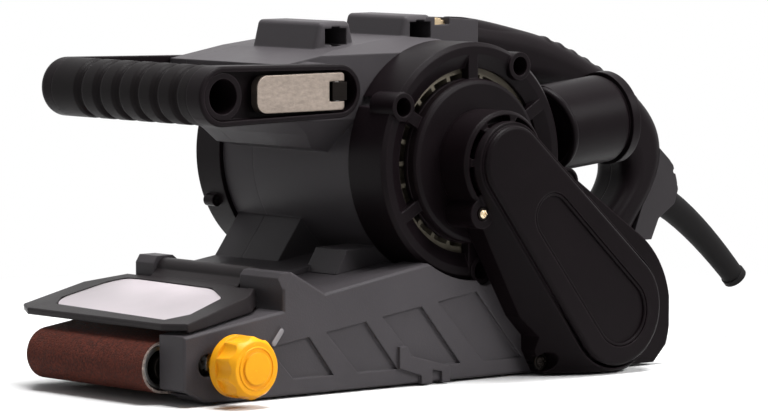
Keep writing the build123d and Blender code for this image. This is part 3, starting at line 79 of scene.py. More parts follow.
def new_group(name, inputs, outputs):
    """An empty shader group with named float or vector sockets."""
    group = bpy.data.node_groups.new(name, "ShaderNodeTree")
    for socket, kind, default in inputs:
        made = group.interface.new_socket(socket, in_out="INPUT", socket_type=SOCKET_KINDS[kind])
        made.default_value = default
    for socket, kind in outputs:
        group.interface.new_socket(socket, in_out="OUTPUT", socket_type=SOCKET_KINDS[kind])
    return group, group.nodes.new("NodeGroupInput"), group.nodes.new("NodeGroupOutput")


def math_node(tree, operation, first, second=None):
    """One maths step; each operand is a socket or a number."""
    node = tree.nodes.new("ShaderNodeMath")
    node.operation = operation
    feed(tree, first, node.inputs[0])
    if second is not None:
        feed(tree, second, node.inputs[1])
    return node.outputs[0]


def vector_node(tree, operation, first, second):
    """One step of vector maths; each operand is a socket or three numbers."""
    node = tree.nodes.new("ShaderNodeVectorMath")
    node.operation = operation
    feed(tree, first, node.inputs[0])
    feed(tree, second, node.inputs[1])
    return node.outputs


def spread(tree, value, before, after):
    """Value moved from one range to another and held inside it."""
    node = tree.nodes.new("ShaderNodeMapRange")
    node.clamp = True
    for socket, number in zip(("From Min", "From Max", "To Min", "To Max"), (*before, *after)):
        node.inputs[socket].default_value = number
    feed(tree, value, node.inputs["Value"])
    return node.outputs["Result"]


def noise(tree, place, scale, detail, rough):
    """Cloud noise at each place."""
    node = tree.nodes.new("ShaderNodeTexNoise")
    for socket, source in zip(("Vector", "Scale", "Detail", "Roughness"), (place, scale, detail, rough)):
        feed(tree, source, node.inputs[socket])
    return node.outputs["Fac"]


def object_place(tree):
    """The place on the piece, in its own coordinates."""
    return tree.nodes.new("ShaderNodeTexCoord").outputs["Object"]


def mix_colour(tree, share, first, second):
    """Colour mix by a share; each colour is a socket or four numbers."""
    node = tree.nodes.new("ShaderNodeMix")
    node.data_type = "RGBA"
    node.clamp_factor = True
    for index, source in zip(MIX_INPUTS, (share, first, second)):
        feed(tree, source, node.inputs[index])
    return node.outputs[MIX_RESULT]


# Shader groups; a band is the range of a noise or a lean over which its mask rises

PATCH_BAND = (0.32, 0.68)
SPECK_BAND = (0.72, 0.80)
LEAN_BAND = (0.985, 0.80)
BROKEN_BAND, BROKEN_SHARE = (0.30, 0.62), (0.25, 1.0)
STREAK_BAND = (0.30, 0.70)
CLOUD_BAND = (0.35, 0.65)


def make_moulded_grain():
    """Spark-eroded mould grain: fine noise for height, broad noise for patches of gloss and shade, and the
    peaks of a third noise for rare pale specks."""
    group, start, end = new_group(
        "moulded_grain",
        (("Grain Scale", "value", 1800.0), ("Patch Scale", "value", 22.0)),
        (("Height", "value"), ("Patch", "value"), ("Speck", "value")),
    )
    place = object_place(group)
    fine = noise(group, place, start.outputs["Grain Scale"], detail=2.0, rough=0.6)
    broad = noise(group, place, start.outputs["Patch Scale"], detail=5.0, rough=0.6)
    rare = noise(group, place, scale=900.0, detail=1.0, rough=0.4)
    feed(group, fine, end.inputs["Height"])
    feed(group, spread(group, broad, PATCH_BAND, UNIT), end.inputs["Patch"])
    feed(group, spread(group, rare, SPECK_BAND, UNIT), end.inputs["Speck"])
    return group


def make_rounded_edge():
    """Mask and normal of rounded edges: the blunted normal, and how far it leans from the true one, broken up
    by noise."""
    group, start, end = new_group(
        "rounded_edge",
        (("Radius", "value", 0.0008),),
        (("Edge", "value"), ("Normal", "vector")),
    )
    blunt = group.nodes.new("ShaderNodeBevel")
    blunt.samples = 6
    feed(group, start.outputs["Radius"], blunt.inputs["Radius"])
    true_normal = group.nodes.new("ShaderNodeNewGeometry").outputs["Normal"]
    agreement = vector_node(group, "DOT_PRODUCT", blunt.outputs["Normal"], true_normal)["Value"]
    broken = noise(group, object_place(group), scale=260.0, detail=3.0, rough=0.6)
    # This mask paints the edges lighter in the materials: painted highlight, and wear
    worn_and_highlit_edge = math_node(group, "MULTIPLY", spread(group, agreement, LEAN_BAND, UNIT),
                     spread(group, broken, BROKEN_BAND, BROKEN_SHARE))
    feed(group, worn_and_highlit_edge, end.inputs["Edge"])
    feed(group, blunt.outputs["Normal"], end.inputs["Normal"])
    return group


def make_rubbed_metal():
    """Rub marks: noise drawn out along one axis for streaks, cloud noise for dull patches."""
    group, start, end = new_group(
        "rubbed_metal",
        (("Stretch", "vector", (60.0, 1400.0, 1400.0)), ("Patch Scale", "value", 90.0)),
        (("Streak", "value"), ("Patch", "value")),
    )
    place = object_place(group)
    mapping = group.nodes.new("ShaderNodeMapping")
    feed(group, place, mapping.inputs["Vector"])
    feed(group, start.outputs["Stretch"], mapping.inputs["Scale"])
    streak = noise(group, mapping.outputs["Vector"], scale=1.0, detail=3.0, rough=0.6)
    patch = noise(group, place, start.outputs["Patch Scale"], detail=4.0, rough=0.6)
    feed(group, spread(group, streak, STREAK_BAND, UNIT), end.inputs["Streak"])
    feed(group, spread(group, patch, PATCH_BAND, UNIT), end.inputs["Patch"])
    return group


def make_abrasive_grit():
    """Coated grit: rounded cells for the grains, a brightness for each cell, and broad noise for clouds."""
    group, start, end = new_group(
        "abrasive_grit",
        (("Grain Scale", "value", 1500.0),),
        (("Height", "value"), ("Grain", "value"), ("Cloud", "value")),
    )
    place = object_place(group)
    cells = group.nodes.new("ShaderNodeTexVoronoi")
    cells.feature = "F1"
    feed(group, place, cells.inputs["Vector"])
    feed(group, start.outputs["Grain Scale"], cells.inputs["Scale"])
    bright = group.nodes.new("ShaderNodeSeparateColor")
    feed(group, cells.outputs["Color"], bright.inputs["Color"])
    cloud = noise(group, place, scale=42.0, detail=5.0, rough=0.65)
    feed(group, math_node(group, "SUBTRACT", 1.0, cells.outputs["Distance"]), end.inputs["Height"])
    feed(group, bright.outputs["Red"], end.inputs["Grain"])
    feed(group, spread(group, cloud, CLOUD_BAND, UNIT), end.inputs["Cloud"])
    return group


GRAIN = make_moulded_grain()
EDGE = make_rounded_edge()
RUBBED = make_rubbed_metal()
GRIT = make_abrasive_grit()


# Materials; depth is the height of the bump and radius that of the rounded edges, in metres

def new_material(name):
    """A material with its node tree and its shader."""
    material = bpy.data.materials.new(name)
    material.use_nodes = True
    tree = material.node_tree
    return material, tree, tree.nodes["Principled BSDF"]


def use_group(tree, group, **values):
    """A shader group placed in a material, with values of its own."""
    node = tree.nodes.new("ShaderNodeGroup")
    node.node_tree = group
    for socket, value in values.items():
        node.inputs[socket.replace("_", " ")].default_value = value
    return node.outputs


def bump(tree, shader, height, depth, normal=None):
    """Height turned into the shader's normal, over the rounded normal where there is one."""
    node = tree.nodes.new("ShaderNodeBump")
    node.inputs["Strength"].default_value = 1.0
    node.inputs["Distance"].default_value = depth
    feed(tree, height, node.inputs["Height"])
    if normal is not None:
        feed(tree, normal, node.inputs["Normal"])
    feed(tree, node.outputs["Normal"], shader.inputs["Normal"])


def tint(colour, factor):
    """A colour made darker or lighter by a factor."""
    return tuple(min(1.0, part * factor) for part in colour) + (1.0,)


def two_tone(tree, mask, colour, dark, light):
    """A colour that goes with a mask from its dark tint to its light one."""
    return mix_colour(tree, mask, tint(colour, dark), tint(colour, light))


def laid_over(tree, base, mask, share, over):
    """A colour laid over the base at a share of a mask."""
    return mix_colour(tree, math_node(tree, "MULTIPLY", mask, share), base, over)


def moulded_plastic(name, colour, gloss=(0.42, 0.56), depth=0.00006, scale=1800.0, radius=0.0007,
                    edge_wear_and_highlight=1.9, level=0.14):
    """Grained plastic: patches of gloss and shade, pale specks, edges painted pale as wear and highlight,
    fine bump.
    """
    material, tree, shader = new_material(name)
    grain = use_group(tree, GRAIN, Grain_Scale=scale)
    edge = use_group(tree, EDGE, Radius=radius)
    body = two_tone(tree, grain["Patch"], colour, dark=0.90, light=1.10)
    body = laid_over(tree, body, grain["Speck"], share=0.25, over=tint(colour, 1.8))
    # Painted highlight, and wear: the edge mask lays a lighter tint over the rounded edges
    body = laid_over(tree, body, edge["Edge"], share=0.55, over=tint(colour, edge_wear_and_highlight))
    feed(tree, body, shader.inputs["Base Color"])
    feed(tree, spread(tree, grain["Patch"], UNIT, gloss), shader.inputs["Roughness"])
    shader.inputs["Specular IOR Level"].default_value = level
    bump(tree, shader, grain["Height"], depth, edge["Normal"])
    return material


def worked_metal(name, colour, gloss=(0.22, 0.42), stretch=(60.0, 1400.0, 1400.0), depth=0.00002,
                 radius=0.0005):
    """Metal with drawn-out rub marks, dull patches and edges made bright as a painted highlight."""
    material, tree, shader = new_material(name)
    rubbed = use_group(tree, RUBBED, Stretch=stretch)
    edge = use_group(tree, EDGE, Radius=radius)
    shine = two_tone(tree, rubbed["Streak"], colour, dark=0.82, light=1.08)
    # Painted highlight: the edge mask lays a brighter tint over the edges
    shine = laid_over(tree, shine, edge["Edge"], share=0.6, over=tint(colour, 1.35))
    feed(tree, shine, shader.inputs["Base Color"])
    shader.inputs["Metallic"].default_value = 1.0
    feed(tree, spread(tree, rubbed["Patch"], UNIT, gloss), shader.inputs["Roughness"])
    bump(tree, shader, rubbed["Streak"], depth, edge["Normal"])
    return material


def rubber(name, colour, rough=0.62):
    """Matt rubber with a soft bloom in patches and edges made paler as a painted highlight."""
    gloss = (rough - 0.06, rough + 0.08)
    material, tree, shader = new_material(name)
    grain = use_group(tree, GRAIN, Grain_Scale=1200.0, Patch_Scale=35.0)
    edge = use_group(tree, EDGE, Radius=0.0006)
    body = two_tone(tree, grain["Patch"], colour, dark=0.85, light=1.25)
    # Painted highlight: the edge mask lays a paler tint over the edges
    body = laid_over(tree, body, edge["Edge"], share=0.4, over=tint(colour, 2.0))
    feed(tree, body, shader.inputs["Base Color"])
    feed(tree, spread(tree, grain["Patch"], UNIT, gloss), shader.inputs["Roughness"])
    shader.inputs["Specular IOR Level"].default_value = 0.08
    bump(tree, shader, grain["Height"], depth=0.00005, normal=edge["Normal"])
    return material


def abrasive(name, colour, cloth, half_width, inside):
    """Brown abrasive: each grain has its own shade, in clouds, over a dark bond. The cut edges show pale
    cloth, and so does the back, where the surface faces the given point inside the loop."""
    cut_band = (half_width - 0.00012, half_width - 0.00004)
    back_band = (-0.0005, -0.0015)
    material, tree, shader = new_material(name)
    grit = use_group(tree, GRIT, Grain_Scale=1250.0)
    grains = two_tone(tree, grit["Grain"], colour, dark=0.42, light=1.75)
    grains = laid_over(tree, grains, grit["Cloud"], share=0.45, over=tint(colour, 0.75))
    threads = two_tone(tree, grit["Grain"], cloth, dark=0.7, light=1.15)
    woven = two_tone(tree, grit["Grain"], cloth, dark=0.42, light=0.62)
    coordinates = tree.nodes.new("ShaderNodeTexCoord").outputs
    apart = tree.nodes.new("ShaderNodeSeparateXYZ")
    feed(tree, coordinates["Object"], apart.inputs["Vector"])
    from_middle = math_node(tree, "ABSOLUTE", apart.outputs["Y"])
    cut = spread(tree, from_middle, cut_band, UNIT)
    from_inside = vector_node(tree, "SUBTRACT", coordinates["Object"], inside)["Vector"]
    facing_out = vector_node(tree, "DOT_PRODUCT", from_inside, coordinates["Normal"])["Value"]
    back = spread(tree, facing_out, back_band, UNIT)
    coated = mix_colour(tree, cut, grains, threads)
    feed(tree, mix_colour(tree, back, coated, woven), shader.inputs["Base Color"])
    feed(tree, spread(tree, grit["Grain"], UNIT, (0.62, 0.9)), shader.inputs["Roughness"])
    shader.inputs["Specular IOR Level"].default_value = 0.10
    bump(tree, shader, grit["Height"], depth=0.0004)
    return material


def label_film(name, colour):
    """Bare satin label film with a faint mottle."""
    material, tree, shader = new_material(name)
    grain = use_group(tree, GRAIN, Grain_Scale=700.0, Patch_Scale=60.0)
    body = two_tone(tree, grain["Patch"], colour, dark=0.94, light=1.03)
    feed(tree, body, shader.inputs["Base Color"])
    feed(tree, spread(tree, grain["Patch"], UNIT, (0.34, 0.46)), shader.inputs["Roughness"])
    bump(tree, shader, grain["Height"], depth=0.00003)
    return material


BLACK = (0.0058, 0.0038, 0.0047)
GREY = (0.052, 0.047, 0.051)
BELT_HALF_WIDTH = float(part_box("sanding_belt")[1][1])
BELT_INSIDE = (0.05, 0.0, 0.022)
FINISHES = {
    "abrasive": abrasive("brown_grit", (0.090, 0.0262, 0.0184), cloth=(0.46, 0.37, 0.33),
                         half_width=BELT_HALF_WIDTH, inside=BELT_INSIDE),
    "graphite": rubber("graphite_cloth", (0.014, 0.014, 0.015), rough=0.5),
    "steel": worked_metal("plain_steel", (0.36, 0.35, 0.34)),
    "bronze": worked_metal("bronze", (0.42, 0.25, 0.11)),
    "amber_plastic": moulded_plastic("amber_moulding", (0.93, 0.395, 0.010), gloss=(0.30, 0.42),
                                     depth=0.00003, scale=1500.0, radius=0.0009, edge_wear_and_highlight=1.1, level=0.15),
    "grey_casting": moulded_plastic("grey_painted_casting", GREY, gloss=(0.40, 0.52), depth=0.00007,
                                    scale=1300.0, radius=0.0009, edge_wear_and_highlight=1.7),
    "grey_plastic": moulded_plastic("grey_moulding", GREY, gloss=(0.42, 0.55), scale=1700.0, radius=0.0009,
                                    edge_wear_and_highlight=1.7),
    "black_plastic": moulded_plastic("black_moulding", BLACK, gloss=(0.34, 0.46), radius=0.0008, edge_wear_and_highlight=6.0,
                                     level=0.060),
    "label": label_film("bare_label", (0.62, 0.557, 0.587)),
    "tyre_rubber": rubber("black_rubber", (0.0075, 0.0070, 0.0072)),
    "black_steel": worked_metal("blackened_steel", (0.012, 0.010, 0.009), gloss=(0.35, 0.5)),
    "alloy": worked_metal("turned_alloy", (0.42, 0.42, 0.43), gloss=(0.25, 0.40),
                          stretch=(1400.0, 1400.0, 90.0)),
    "zinc": worked_metal("zinc_plate", (0.44, 0.42, 0.38), gloss=(0.20, 0.38)),
    "bright_lever": worked_metal("nickel_lever", (0.275, 0.230, 0.197), gloss=(0.42, 0.62),
                                 stretch=(420.0, 700.0, 700.0), depth=0.00005, radius=0.0009),
    "beige_plastic": moulded_plastic("beige_fan", (0.17, 0.15, 0.115), gloss=(0.45, 0.6), depth=0.00005,
                                     scale=1500.0, radius=0.0005, edge_wear_and_highlight=1.2),
    "lamination": worked_metal("stacked_sheet", (0.22, 0.22, 0.23), gloss=(0.4, 0.6),
                               stretch=(60.0, 2600.0, 60.0), depth=0.00006),
    "winding": worked_metal("copper_wire", (0.50, 0.21, 0.08), gloss=(0.3, 0.5),
                            stretch=(200.0, 200.0, 1600.0), depth=0.00008),
    "carbon": rubber("pressed_carbon", (0.02, 0.02, 0.02), rough=0.7),
    "brass": worked_metal("brass_sheet", (0.56, 0.39, 0.14)),
    "board": moulded_plastic("green_board", (0.02, 0.12, 0.05), gloss=(0.35, 0.5)),
    "switch_plastic": moulded_plastic("switch_moulding", (0.02, 0.02, 0.021)),
}

# Five mouldings are made in a shade of their own
OWN_SHADES = {
    "front_flap": moulded_plastic("flap_moulding", (0.019, 0.016, 0.017), gloss=(0.34, 0.46), radius=0.0010,
                                  edge_wear_and_highlight=2.6, level=0.09),
    "front_grip": moulded_plastic("grip_moulding", (0.0060, 0.0046, 0.0050), gloss=(0.44, 0.56), scale=1500.0,
                                  radius=0.0009, edge_wear_and_highlight=2.8, level=0.070),
    "handle_rear_cap": moulded_plastic("dark_cap_moulding", (0.026, 0.023, 0.025), gloss=(0.42, 0.55)),
    "drive_cover": moulded_plastic("cover_moulding", (0.0044, 0.0027, 0.0034), gloss=(0.34, 0.46),
                                   radius=0.0011, edge_wear_and_highlight=6.0, level=0.050),
    "speed_dial": moulded_plastic("cream_dial", (0.62, 0.48, 0.30), gloss=(0.38, 0.50), depth=0.00003,
                                  scale=1500.0, radius=0.0004, edge_wear_and_highlight=1.1),
}

# Finishes of small pieces that the solids don't have
PALE_MARK = label_film("pale_mark", (0.20, 0.19, 0.20))
BRIGHT_SCREW = worked_metal("yellow_zinc", (0.62, 0.50, 0.34), gloss=(0.16, 0.30))

for entry in frame["record"]["subparts"]:
    piece = nodes[entry["node"]]
    piece.data.materials.clear()
    piece.data.materials.append(OWN_SHADES.get(entry["node"], FINISHES[entry["material_slot"]]))


# Small pieces that the solids leave to the scene; places in metres, +X rear, +Y open side, +Z up

MOTOR_AXIS = np.array((0.0505, 0.0895))  # X and Z
DRUM_AXIS = np.array((0.1085, 0.0270))
SHARP_ANGLE = math.radians(40.0)
NEAR_SIDE, OPEN_SIDE = -1.0, 1.0


def closed_skin(name, rings, finish, body="body", loop=False):
    """Rings of points, each joined to the next by four-sided faces. The first and the last ring each have a
    flat face over them, or in a loop are joined to each other. All faces are turned round if the volume that
    the sides span from the middle is negative, so they point outwards."""
    count, around = rings.shape[:2]
    index = np.arange(count * around).reshape(count, around)
    here, ahead = (index, np.roll(index, -1, axis=0)) if loop else (index[:-1], index[1:])
    sides = np.stack((here, np.roll(here, -1, axis=1), np.roll(ahead, -1, axis=1), ahead), axis=-1)
    sides = sides.reshape(-1, 4)
    ends = np.stack((index[0, ::-1], index[-1]))[:0 if loop else 2]
    points = rings.reshape(-1, 3)
    corners = points[sides] - points.mean(axis=0)
    first = np.einsum("ij,ij->i", corners[:, 0], np.cross(corners[:, 1], corners[:, 2]))
    second = np.einsum("ij,ij->i", corners[:, 0], np.cross(corners[:, 2], corners[:, 3]))
    if (first + second).sum() < 0.0:
        sides, ends = sides[:, ::-1], ends[:, ::-1]
    mesh = bpy.data.meshes.new(name)
    mesh.from_pydata(points.tolist(), [], sides.tolist() + ends.tolist())
    mesh.polygons.foreach_set("use_smooth", np.ones(len(mesh.polygons), dtype=bool))
    mesh.set_sharp_from_angle(angle=SHARP_ANGLE)
    mesh.materials.append(finish)
    made = bpy.data.objects.new(name, mesh)
    scene.collection.objects.link(made)
    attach(made, body)
    return made


def smooth_step(value, low, high):
    """Nought below low, one above high, and three t squared less two t cubed between."""
    share = np.clip((value - low) / (high - low), 0.0, 1.0)
    return share * share * (3.0 - 2.0 * share)


def round_bead(line, outward, face, radius, sides=16):
    """Rings of a round bead: circles about each point of a line, in the plane of its outward and its face
    direction. The face direction and the radius are given once, or for each point."""
    turn = np.linspace(0.0, FULL_TURN, sides, endpoint=False)[None, :, None]
    face = np.broadcast_to(face, line.shape)[:, None]
    radius = np.broadcast_to(radius, len(line))[:, None, None]
    return line[:, None] + radius * (np.cos(turn) * outward[:, None] + np.sin(turn) * face)


def handle_crown():
    """The rear handle's upper edge near its middle plane: a sixth-degree curve through the points where plumb
    lines meet the handle."""
    handle = nodes["rear_handle_near"]
    beside_seam, above = -0.0005, 0.25
    stations = np.linspace(0.090, 0.190, 25)
    met = [handle.ray_cast((station, beside_seam, above), (0.0, 0.0, -1.0))[1].z for station in stations]
    return np.polynomial.Polynomial.fit(stations, met, 6)


def make_grip_skin():
    """Soft skin on the rear handle: a crown with rounded shoulders carried along the handle's upper edge. Its
    thickness fills the step behind the grey root, then rises and falls as a cosine for the cross ribs. Its
    sides go down with the corner circle, and sink into the handle with the sixth power of the way across."""
    crown = handle_crown()
    start, end, root_top, fill_end = 0.0864, 0.1865, 0.1456, 0.1215
    first_rib, rib_pitch, rib_height, rib_power = 0.1290, 0.0083, 0.00075, 2.5
    ribs_begin, ribs_stop, dip_begins = (0.1270, 0.1300), (0.1840, 0.1862), 0.1850
    film, end_dip, edge_dip, wall = 0.00012, 0.0006, 0.0004, 0.0007
    corner, most_of_corner = 0.0080, 0.98
    reach_on_grip, more_at_root, root_ends = 0.0098, 0.0030, (0.0950, 0.1250)
    places, half_widths = (0.086, 0.112, 0.126, 0.150, 0.165), (0.0143, 0.0130, 0.0124, 0.0127, 0.0130)
    along = np.linspace(start, end, 240)
    height, slope = crown(along), crown.deriv()(along)
    run = np.concatenate(([0.0], np.cumsum(np.hypot(np.diff(along), np.diff(height)))))
    fill = (root_top - height[0]) * (1.0 - smooth_step(along, start, fill_end))
    phase = (run - np.interp(first_rib, along, run)) * FULL_TURN / rib_pitch
    wave = 0.5 + 0.5 * np.cos(phase - np.pi)
    ribbed = smooth_step(along, *ribs_begin) * (1.0 - smooth_step(along, *ribs_stop))
    dip = end_dip * smooth_step(along, dip_begins, end)
    thick = film + fill + rib_height * ribbed * wave ** rib_power - dip
    half_width = np.interp(along, places, half_widths)
    reach = reach_on_grip + more_at_root * (1.0 - smooth_step(along, *root_ends))
    across = np.linspace(-1.0, 1.0, 41)
    side = across * reach[:, None]
    beyond = np.clip(np.abs(side) - (half_width - corner)[:, None], 0.0, most_of_corner * corner)
    drop = corner - np.sqrt(corner ** 2 - beyond ** 2)
    lift = thick[:, None] * (1.0 - across ** 4) - edge_dip * across ** 6
    rise = np.concatenate((lift - drop, (-drop - wall)[:, ::-1]), axis=1)
    aside = np.concatenate((side, side[:, ::-1]), axis=1)
    along, height, slope = along[:, None], height[:, None], slope[:, None]
    lean = np.hypot(1.0, slope)
    rings = np.stack((along - rise * slope / lean, aside, height + rise / lean), axis=-1)
    closed_skin("rear_grip_skin", rings, FINISHES["black_plastic"])


def make_spring_coil():
    """Tension spring: a round wire carried along a helix whose turns close up at both ends. It replaces the
    solid, which is hidden."""
    low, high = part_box("tension_spring")
    wire, turns, sides = 0.0007, 8.5, 14
    closing, even_share, stretch = 0.24, 0.22, 1.06
    share = np.linspace(0.0, 1.0, 420)
    angle = FULL_TURN * turns * share
    closed = 0.5 * (smooth_step(share, 0.0, closing) + smooth_step(share, 1.0 - closing, 1.0))
    even = 0.5 + (share - 0.5) * stretch
    travel = np.clip(even_share * even + (1.0 - even_share) * closed, 0.0, 1.0)
    middle_y, middle_z = 0.5 * (low[1] + high[1]), 0.5 * (low[2] + high[2])
    coil = 0.5 * (high[1] - low[1]) - wire
    first, last = low[0] + wire, high[0] - wire
    outward = np.stack((np.zeros_like(angle), np.cos(angle), np.sin(angle)), axis=1)
    line = np.array((0.0, middle_y, middle_z)) + coil * outward
    line[:, 0] = first + (last - first) * travel
    rings = round_bead(line, outward, (1.0, 0.0, 0.0), wire, sides)
    made = closed_skin("tension_spring_coil", rings, FINISHES["steel"])
    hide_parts("tension_spring")
    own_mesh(made)


def make_port_lip():
    """Rolled lip on the dust port: a round bead carried along the curve where the port's tube meets the round
    room cut for the end cover, over the near half of the tube. Its ends are thinned as the root of a sine."""
    outlet, tube_y, tilt = np.array((0.1405, 0.1032)), -0.037, math.radians(5.6)
    tube, room, bead, sides, stations = 0.0172, 0.0553, 0.00165, 20, 90
    half_span, tip, fullness = 82.0, 0.02, 6.0
    axis = np.array((math.cos(tilt), math.sin(tilt)))
    upright = np.array((-math.sin(tilt), math.cos(tilt)))
    turn = np.radians(np.linspace(-half_span, half_span, stations))
    start = outlet - MOTOR_AXIS + tube * np.sin(turn)[:, None] * upright
    forward = start @ axis
    back = forward - np.sqrt(room ** 2 - (start ** 2).sum(axis=1) + forward ** 2)
    flat = start - back[:, None] * axis + MOTOR_AXIS
    line = np.stack((flat[:, 0], tube_y - tube * np.cos(turn), flat[:, 1]), axis=1)
    ahead = np.gradient(line, axis=0)
    ahead = ahead / np.linalg.norm(ahead, axis=1, keepdims=True)
    side = np.cross(ahead, (axis[0], 0.0, axis[1]))
    side = side / np.linalg.norm(side, axis=1, keepdims=True)
    size = bead * np.sqrt(np.clip(np.sin(np.linspace(tip, np.pi - tip, stations)) * fullness, 0.0, 1.0))
    rings = round_bead(line, side, np.cross(ahead, side), size, sides)
    closed_skin("dust_port_lip", rings, FINISHES["black_plastic"])


def make_tracking_mark():
    """Pale mark by the knob: a bar along a slanted line, elliptic in section, drawn in at its ends by the
    root of one less the eighth power of the way along."""
    middle, face, lean = np.array((-0.0569, 0.0247)), -0.0564, math.radians(50.0)
    half_length, half_width, rise, least = 0.0041, 0.00115, 0.00028, 0.02
    ahead = np.array((math.cos(lean), math.sin(lean)))
    aside = np.array((-math.sin(lean), math.cos(lean)))
    span = np.linspace(-1.0, 1.0, 25)
    drawn = np.sqrt(np.clip(1.0 - span ** 8, least, 1.0))[:, None]
    turn = np.linspace(0.0, FULL_TURN, 24, endpoint=False)
    across = half_width * drawn * np.cos(turn)
    flat = middle + span[:, None, None] * half_length * ahead + across[..., None] * aside
    rings = np.stack((flat[..., 0], face - rise * drawn * np.sin(turn), flat[..., 1]), axis=-1)
    closed_skin("tracking_mark", rings, PALE_MARK)


def make_panel_bead():
    """Bead round the bare panel of the drive cover: for each direction, the point of the larger reach of two
    circles, so a tapered oval, set in from the panel's edge."""
    shares, radii = np.array((0.36, 1.02)), np.array((0.0100, 0.0145))
    bead, inset, panel_y = 0.00075, 0.0008, -0.0771
    middles = MOTOR_AXIS + shares[:, None] * (DRUM_AXIS - MOTOR_AXIS)
    radii = radii - inset
    turn = np.linspace(0.0, FULL_TURN, 180, endpoint=False)
    way = np.stack((np.cos(turn), np.sin(turn)), axis=1)
    larger = np.argmax(way @ middles.T + radii, axis=1)
    flat = middles[larger] + radii[larger][:, None] * way
    line = np.stack((flat[:, 0], np.full(len(flat), panel_y), flat[:, 1]), axis=1)
    outward = np.stack((way[:, 0], np.zeros(len(way)), way[:, 1]), axis=1)
    rings = round_bead(line, outward, (0.0, -1.0, 0.0), bead)
    closed_skin("cover_panel_bead", rings, OWN_SHADES["drive_cover"], loop=True)


def make_knob_ring():
    """Raised ring on the tracking knob's face: a bead carried round a circle about the knob's axis."""
    low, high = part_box("tracking_knob")
    middle = 0.5 * (np.array(low) + np.array(high))
    radius, bead, boss = 0.0083, 0.00045, 0.0008
    turn = np.linspace(0.0, FULL_TURN, 96, endpoint=False)
    outward = np.stack((np.cos(turn), np.zeros_like(turn), np.sin(turn)), axis=1)
    line = np.array((middle[0], low[1] + boss, middle[2])) + radius * outward
    rings = round_bead(line, outward, (0.0, -1.0, 0.0), bead)
    closed_skin("knob_face_ring", rings, FINISHES["amber_plastic"], "tracking_knob",
                loop=True)


def make_label_film():
    """Flap label with rounded corners: each corner of the solid's outline becomes a second-degree curve
    between two points set back along its edges. The outline is drawn in a little towards the upper face."""
    up = np.array((-0.225, 0.0, 0.9744))  # the way the flap's upper face looks
    set_back, most_share = 0.0052, 0.48
    ring_depths, ring_sizes = np.array((1.0, 0.35, 0.0, 0.0)), np.array((1.0, 1.0, 0.997, 0.98))
    solid = nodes["flap_label"].data
    places = np.empty(len(solid.vertices) * 3)
    solid.vertices.foreach_get("co", places)
    places = np.unique(np.round(places.reshape(-1, 3), 6), axis=0)
    from_middle = places - places.mean(axis=0)
    level = from_middle @ up
    upper, thick = level > 0.0, level.max() - level.min()
    forward = np.array((up[2], 0.0, -up[0]))
    bearing = np.arctan2(from_middle[upper, 1], from_middle[upper] @ forward)
    corner = places[upper][np.argsort(bearing)]
    before, after = np.roll(corner, 1, axis=0) - corner, np.roll(corner, -1, axis=0) - corner
    share_before = np.minimum(set_back / np.linalg.norm(before, axis=1), most_share)[:, None]
    share_after = np.minimum(set_back / np.linalg.norm(after, axis=1), most_share)[:, None]
    start, end = corner + share_before * before, corner + share_after * after
    step = np.linspace(0.0, 1.0, 9)[None, :, None]
    outline = ((1.0 - step) ** 2 * start[:, None] + 2.0 * step * (1.0 - step) * corner[:, None]
               + step ** 2 * end[:, None]).reshape(-1, 3)
    middle = outline.mean(axis=0)
    depth = ring_depths[:, None, None] * thick * -up
    rings = middle + (outline - middle)[None] * ring_sizes[:, None, None] + depth
    made = closed_skin("flap_label_film", rings, FINISHES["label"], "flap")
    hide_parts("flap_label")


def make_screw_head(name, place, radius, rise, finish, facing=NEAR_SIDE):
    """Domed screw head: height falls with the square of the radius, less a cross recess with soft sides. The
    last ring carries the rim straight down into the seat."""
    arm, arm_soft, length, length_soft = 0.15, 0.05, 0.62, 0.06
    eye, slant, fall, recess, sunk = 0.03, 0.4, 0.65, 0.55, 0.0002
    share = np.concatenate((np.linspace(eye, 1.0, 22), (1.0,)))[:, None]
    turn = np.linspace(0.0, FULL_TURN, 72, endpoint=False) + slant
    along, aside = share * np.cos(turn), share * np.sin(turn)

    def bar(across, lengthwise):
        """One on a bar of the cross and nought off it: a soft step across times a soft step lengthwise."""
        return (1.0 - smooth_step(np.abs(across), arm - arm_soft, arm + arm_soft)) * (
            1.0 - smooth_step(np.abs(lengthwise), length - length_soft, length + length_soft))

    cross = np.maximum(bar(along, aside), bar(aside, along))
    height = rise * (1.0 - fall * share ** 2) - recess * rise * cross
    height[-1] = -sunk
    x, y, z = place
    rings = np.stack((x + radius * along, y + facing * height, z + radius * aside), axis=-1)
    closed_skin(name, rings, finish)


make_grip_skin()
make_spring_coil()
make_port_lip()
make_tracking_mark()
make_panel_bead()
make_knob_ring()
make_label_film()

make_screw_head("lug_screw_head", (0.0382, -0.0718, 0.06959), radius=0.0019, rise=0.0013, finish=BRIGHT_SCREW)
for title, place in (("foot_screw_head", (0.0787, -0.0623, 0.0060)),
                     ("rear_screw_head", (0.09445, -0.0615, 0.07895))):
    make_screw_head(title, place, radius=0.0026, rise=0.0013, finish=FINISHES["black_steel"])

END_COVER_BOLTS, BOLT_Y = ((0.0118, 0.1129), (0.0751, 0.1274), (0.09445, 0.0790), (0.0540, 0.0444)), -0.0439
for count, (bolt_x, bolt_z) in enumerate(END_COVER_BOLTS):
    make_screw_head(f"end_cover_bolt_head_{count}", (bolt_x, BOLT_Y, bolt_z), radius=0.0034, rise=0.0020,
                    finish=FINISHES["black_steel"])

HANDLE_SCREWS, HANDLE_SCREW_Y = ((0.098, 0.131), (0.164, 0.110), (0.184, 0.074)), 0.0089
for count, (screw_x, screw_z) in enumerate(HANDLE_SCREWS):
    make_screw_head(f"handle_screw_head_{count}", (screw_x, HANDLE_SCREW_Y, screw_z), radius=0.0018,
                    rise=0.0012, finish=FINISHES["zinc"], facing=OPEN_SIDE)


# Floor, light and camera

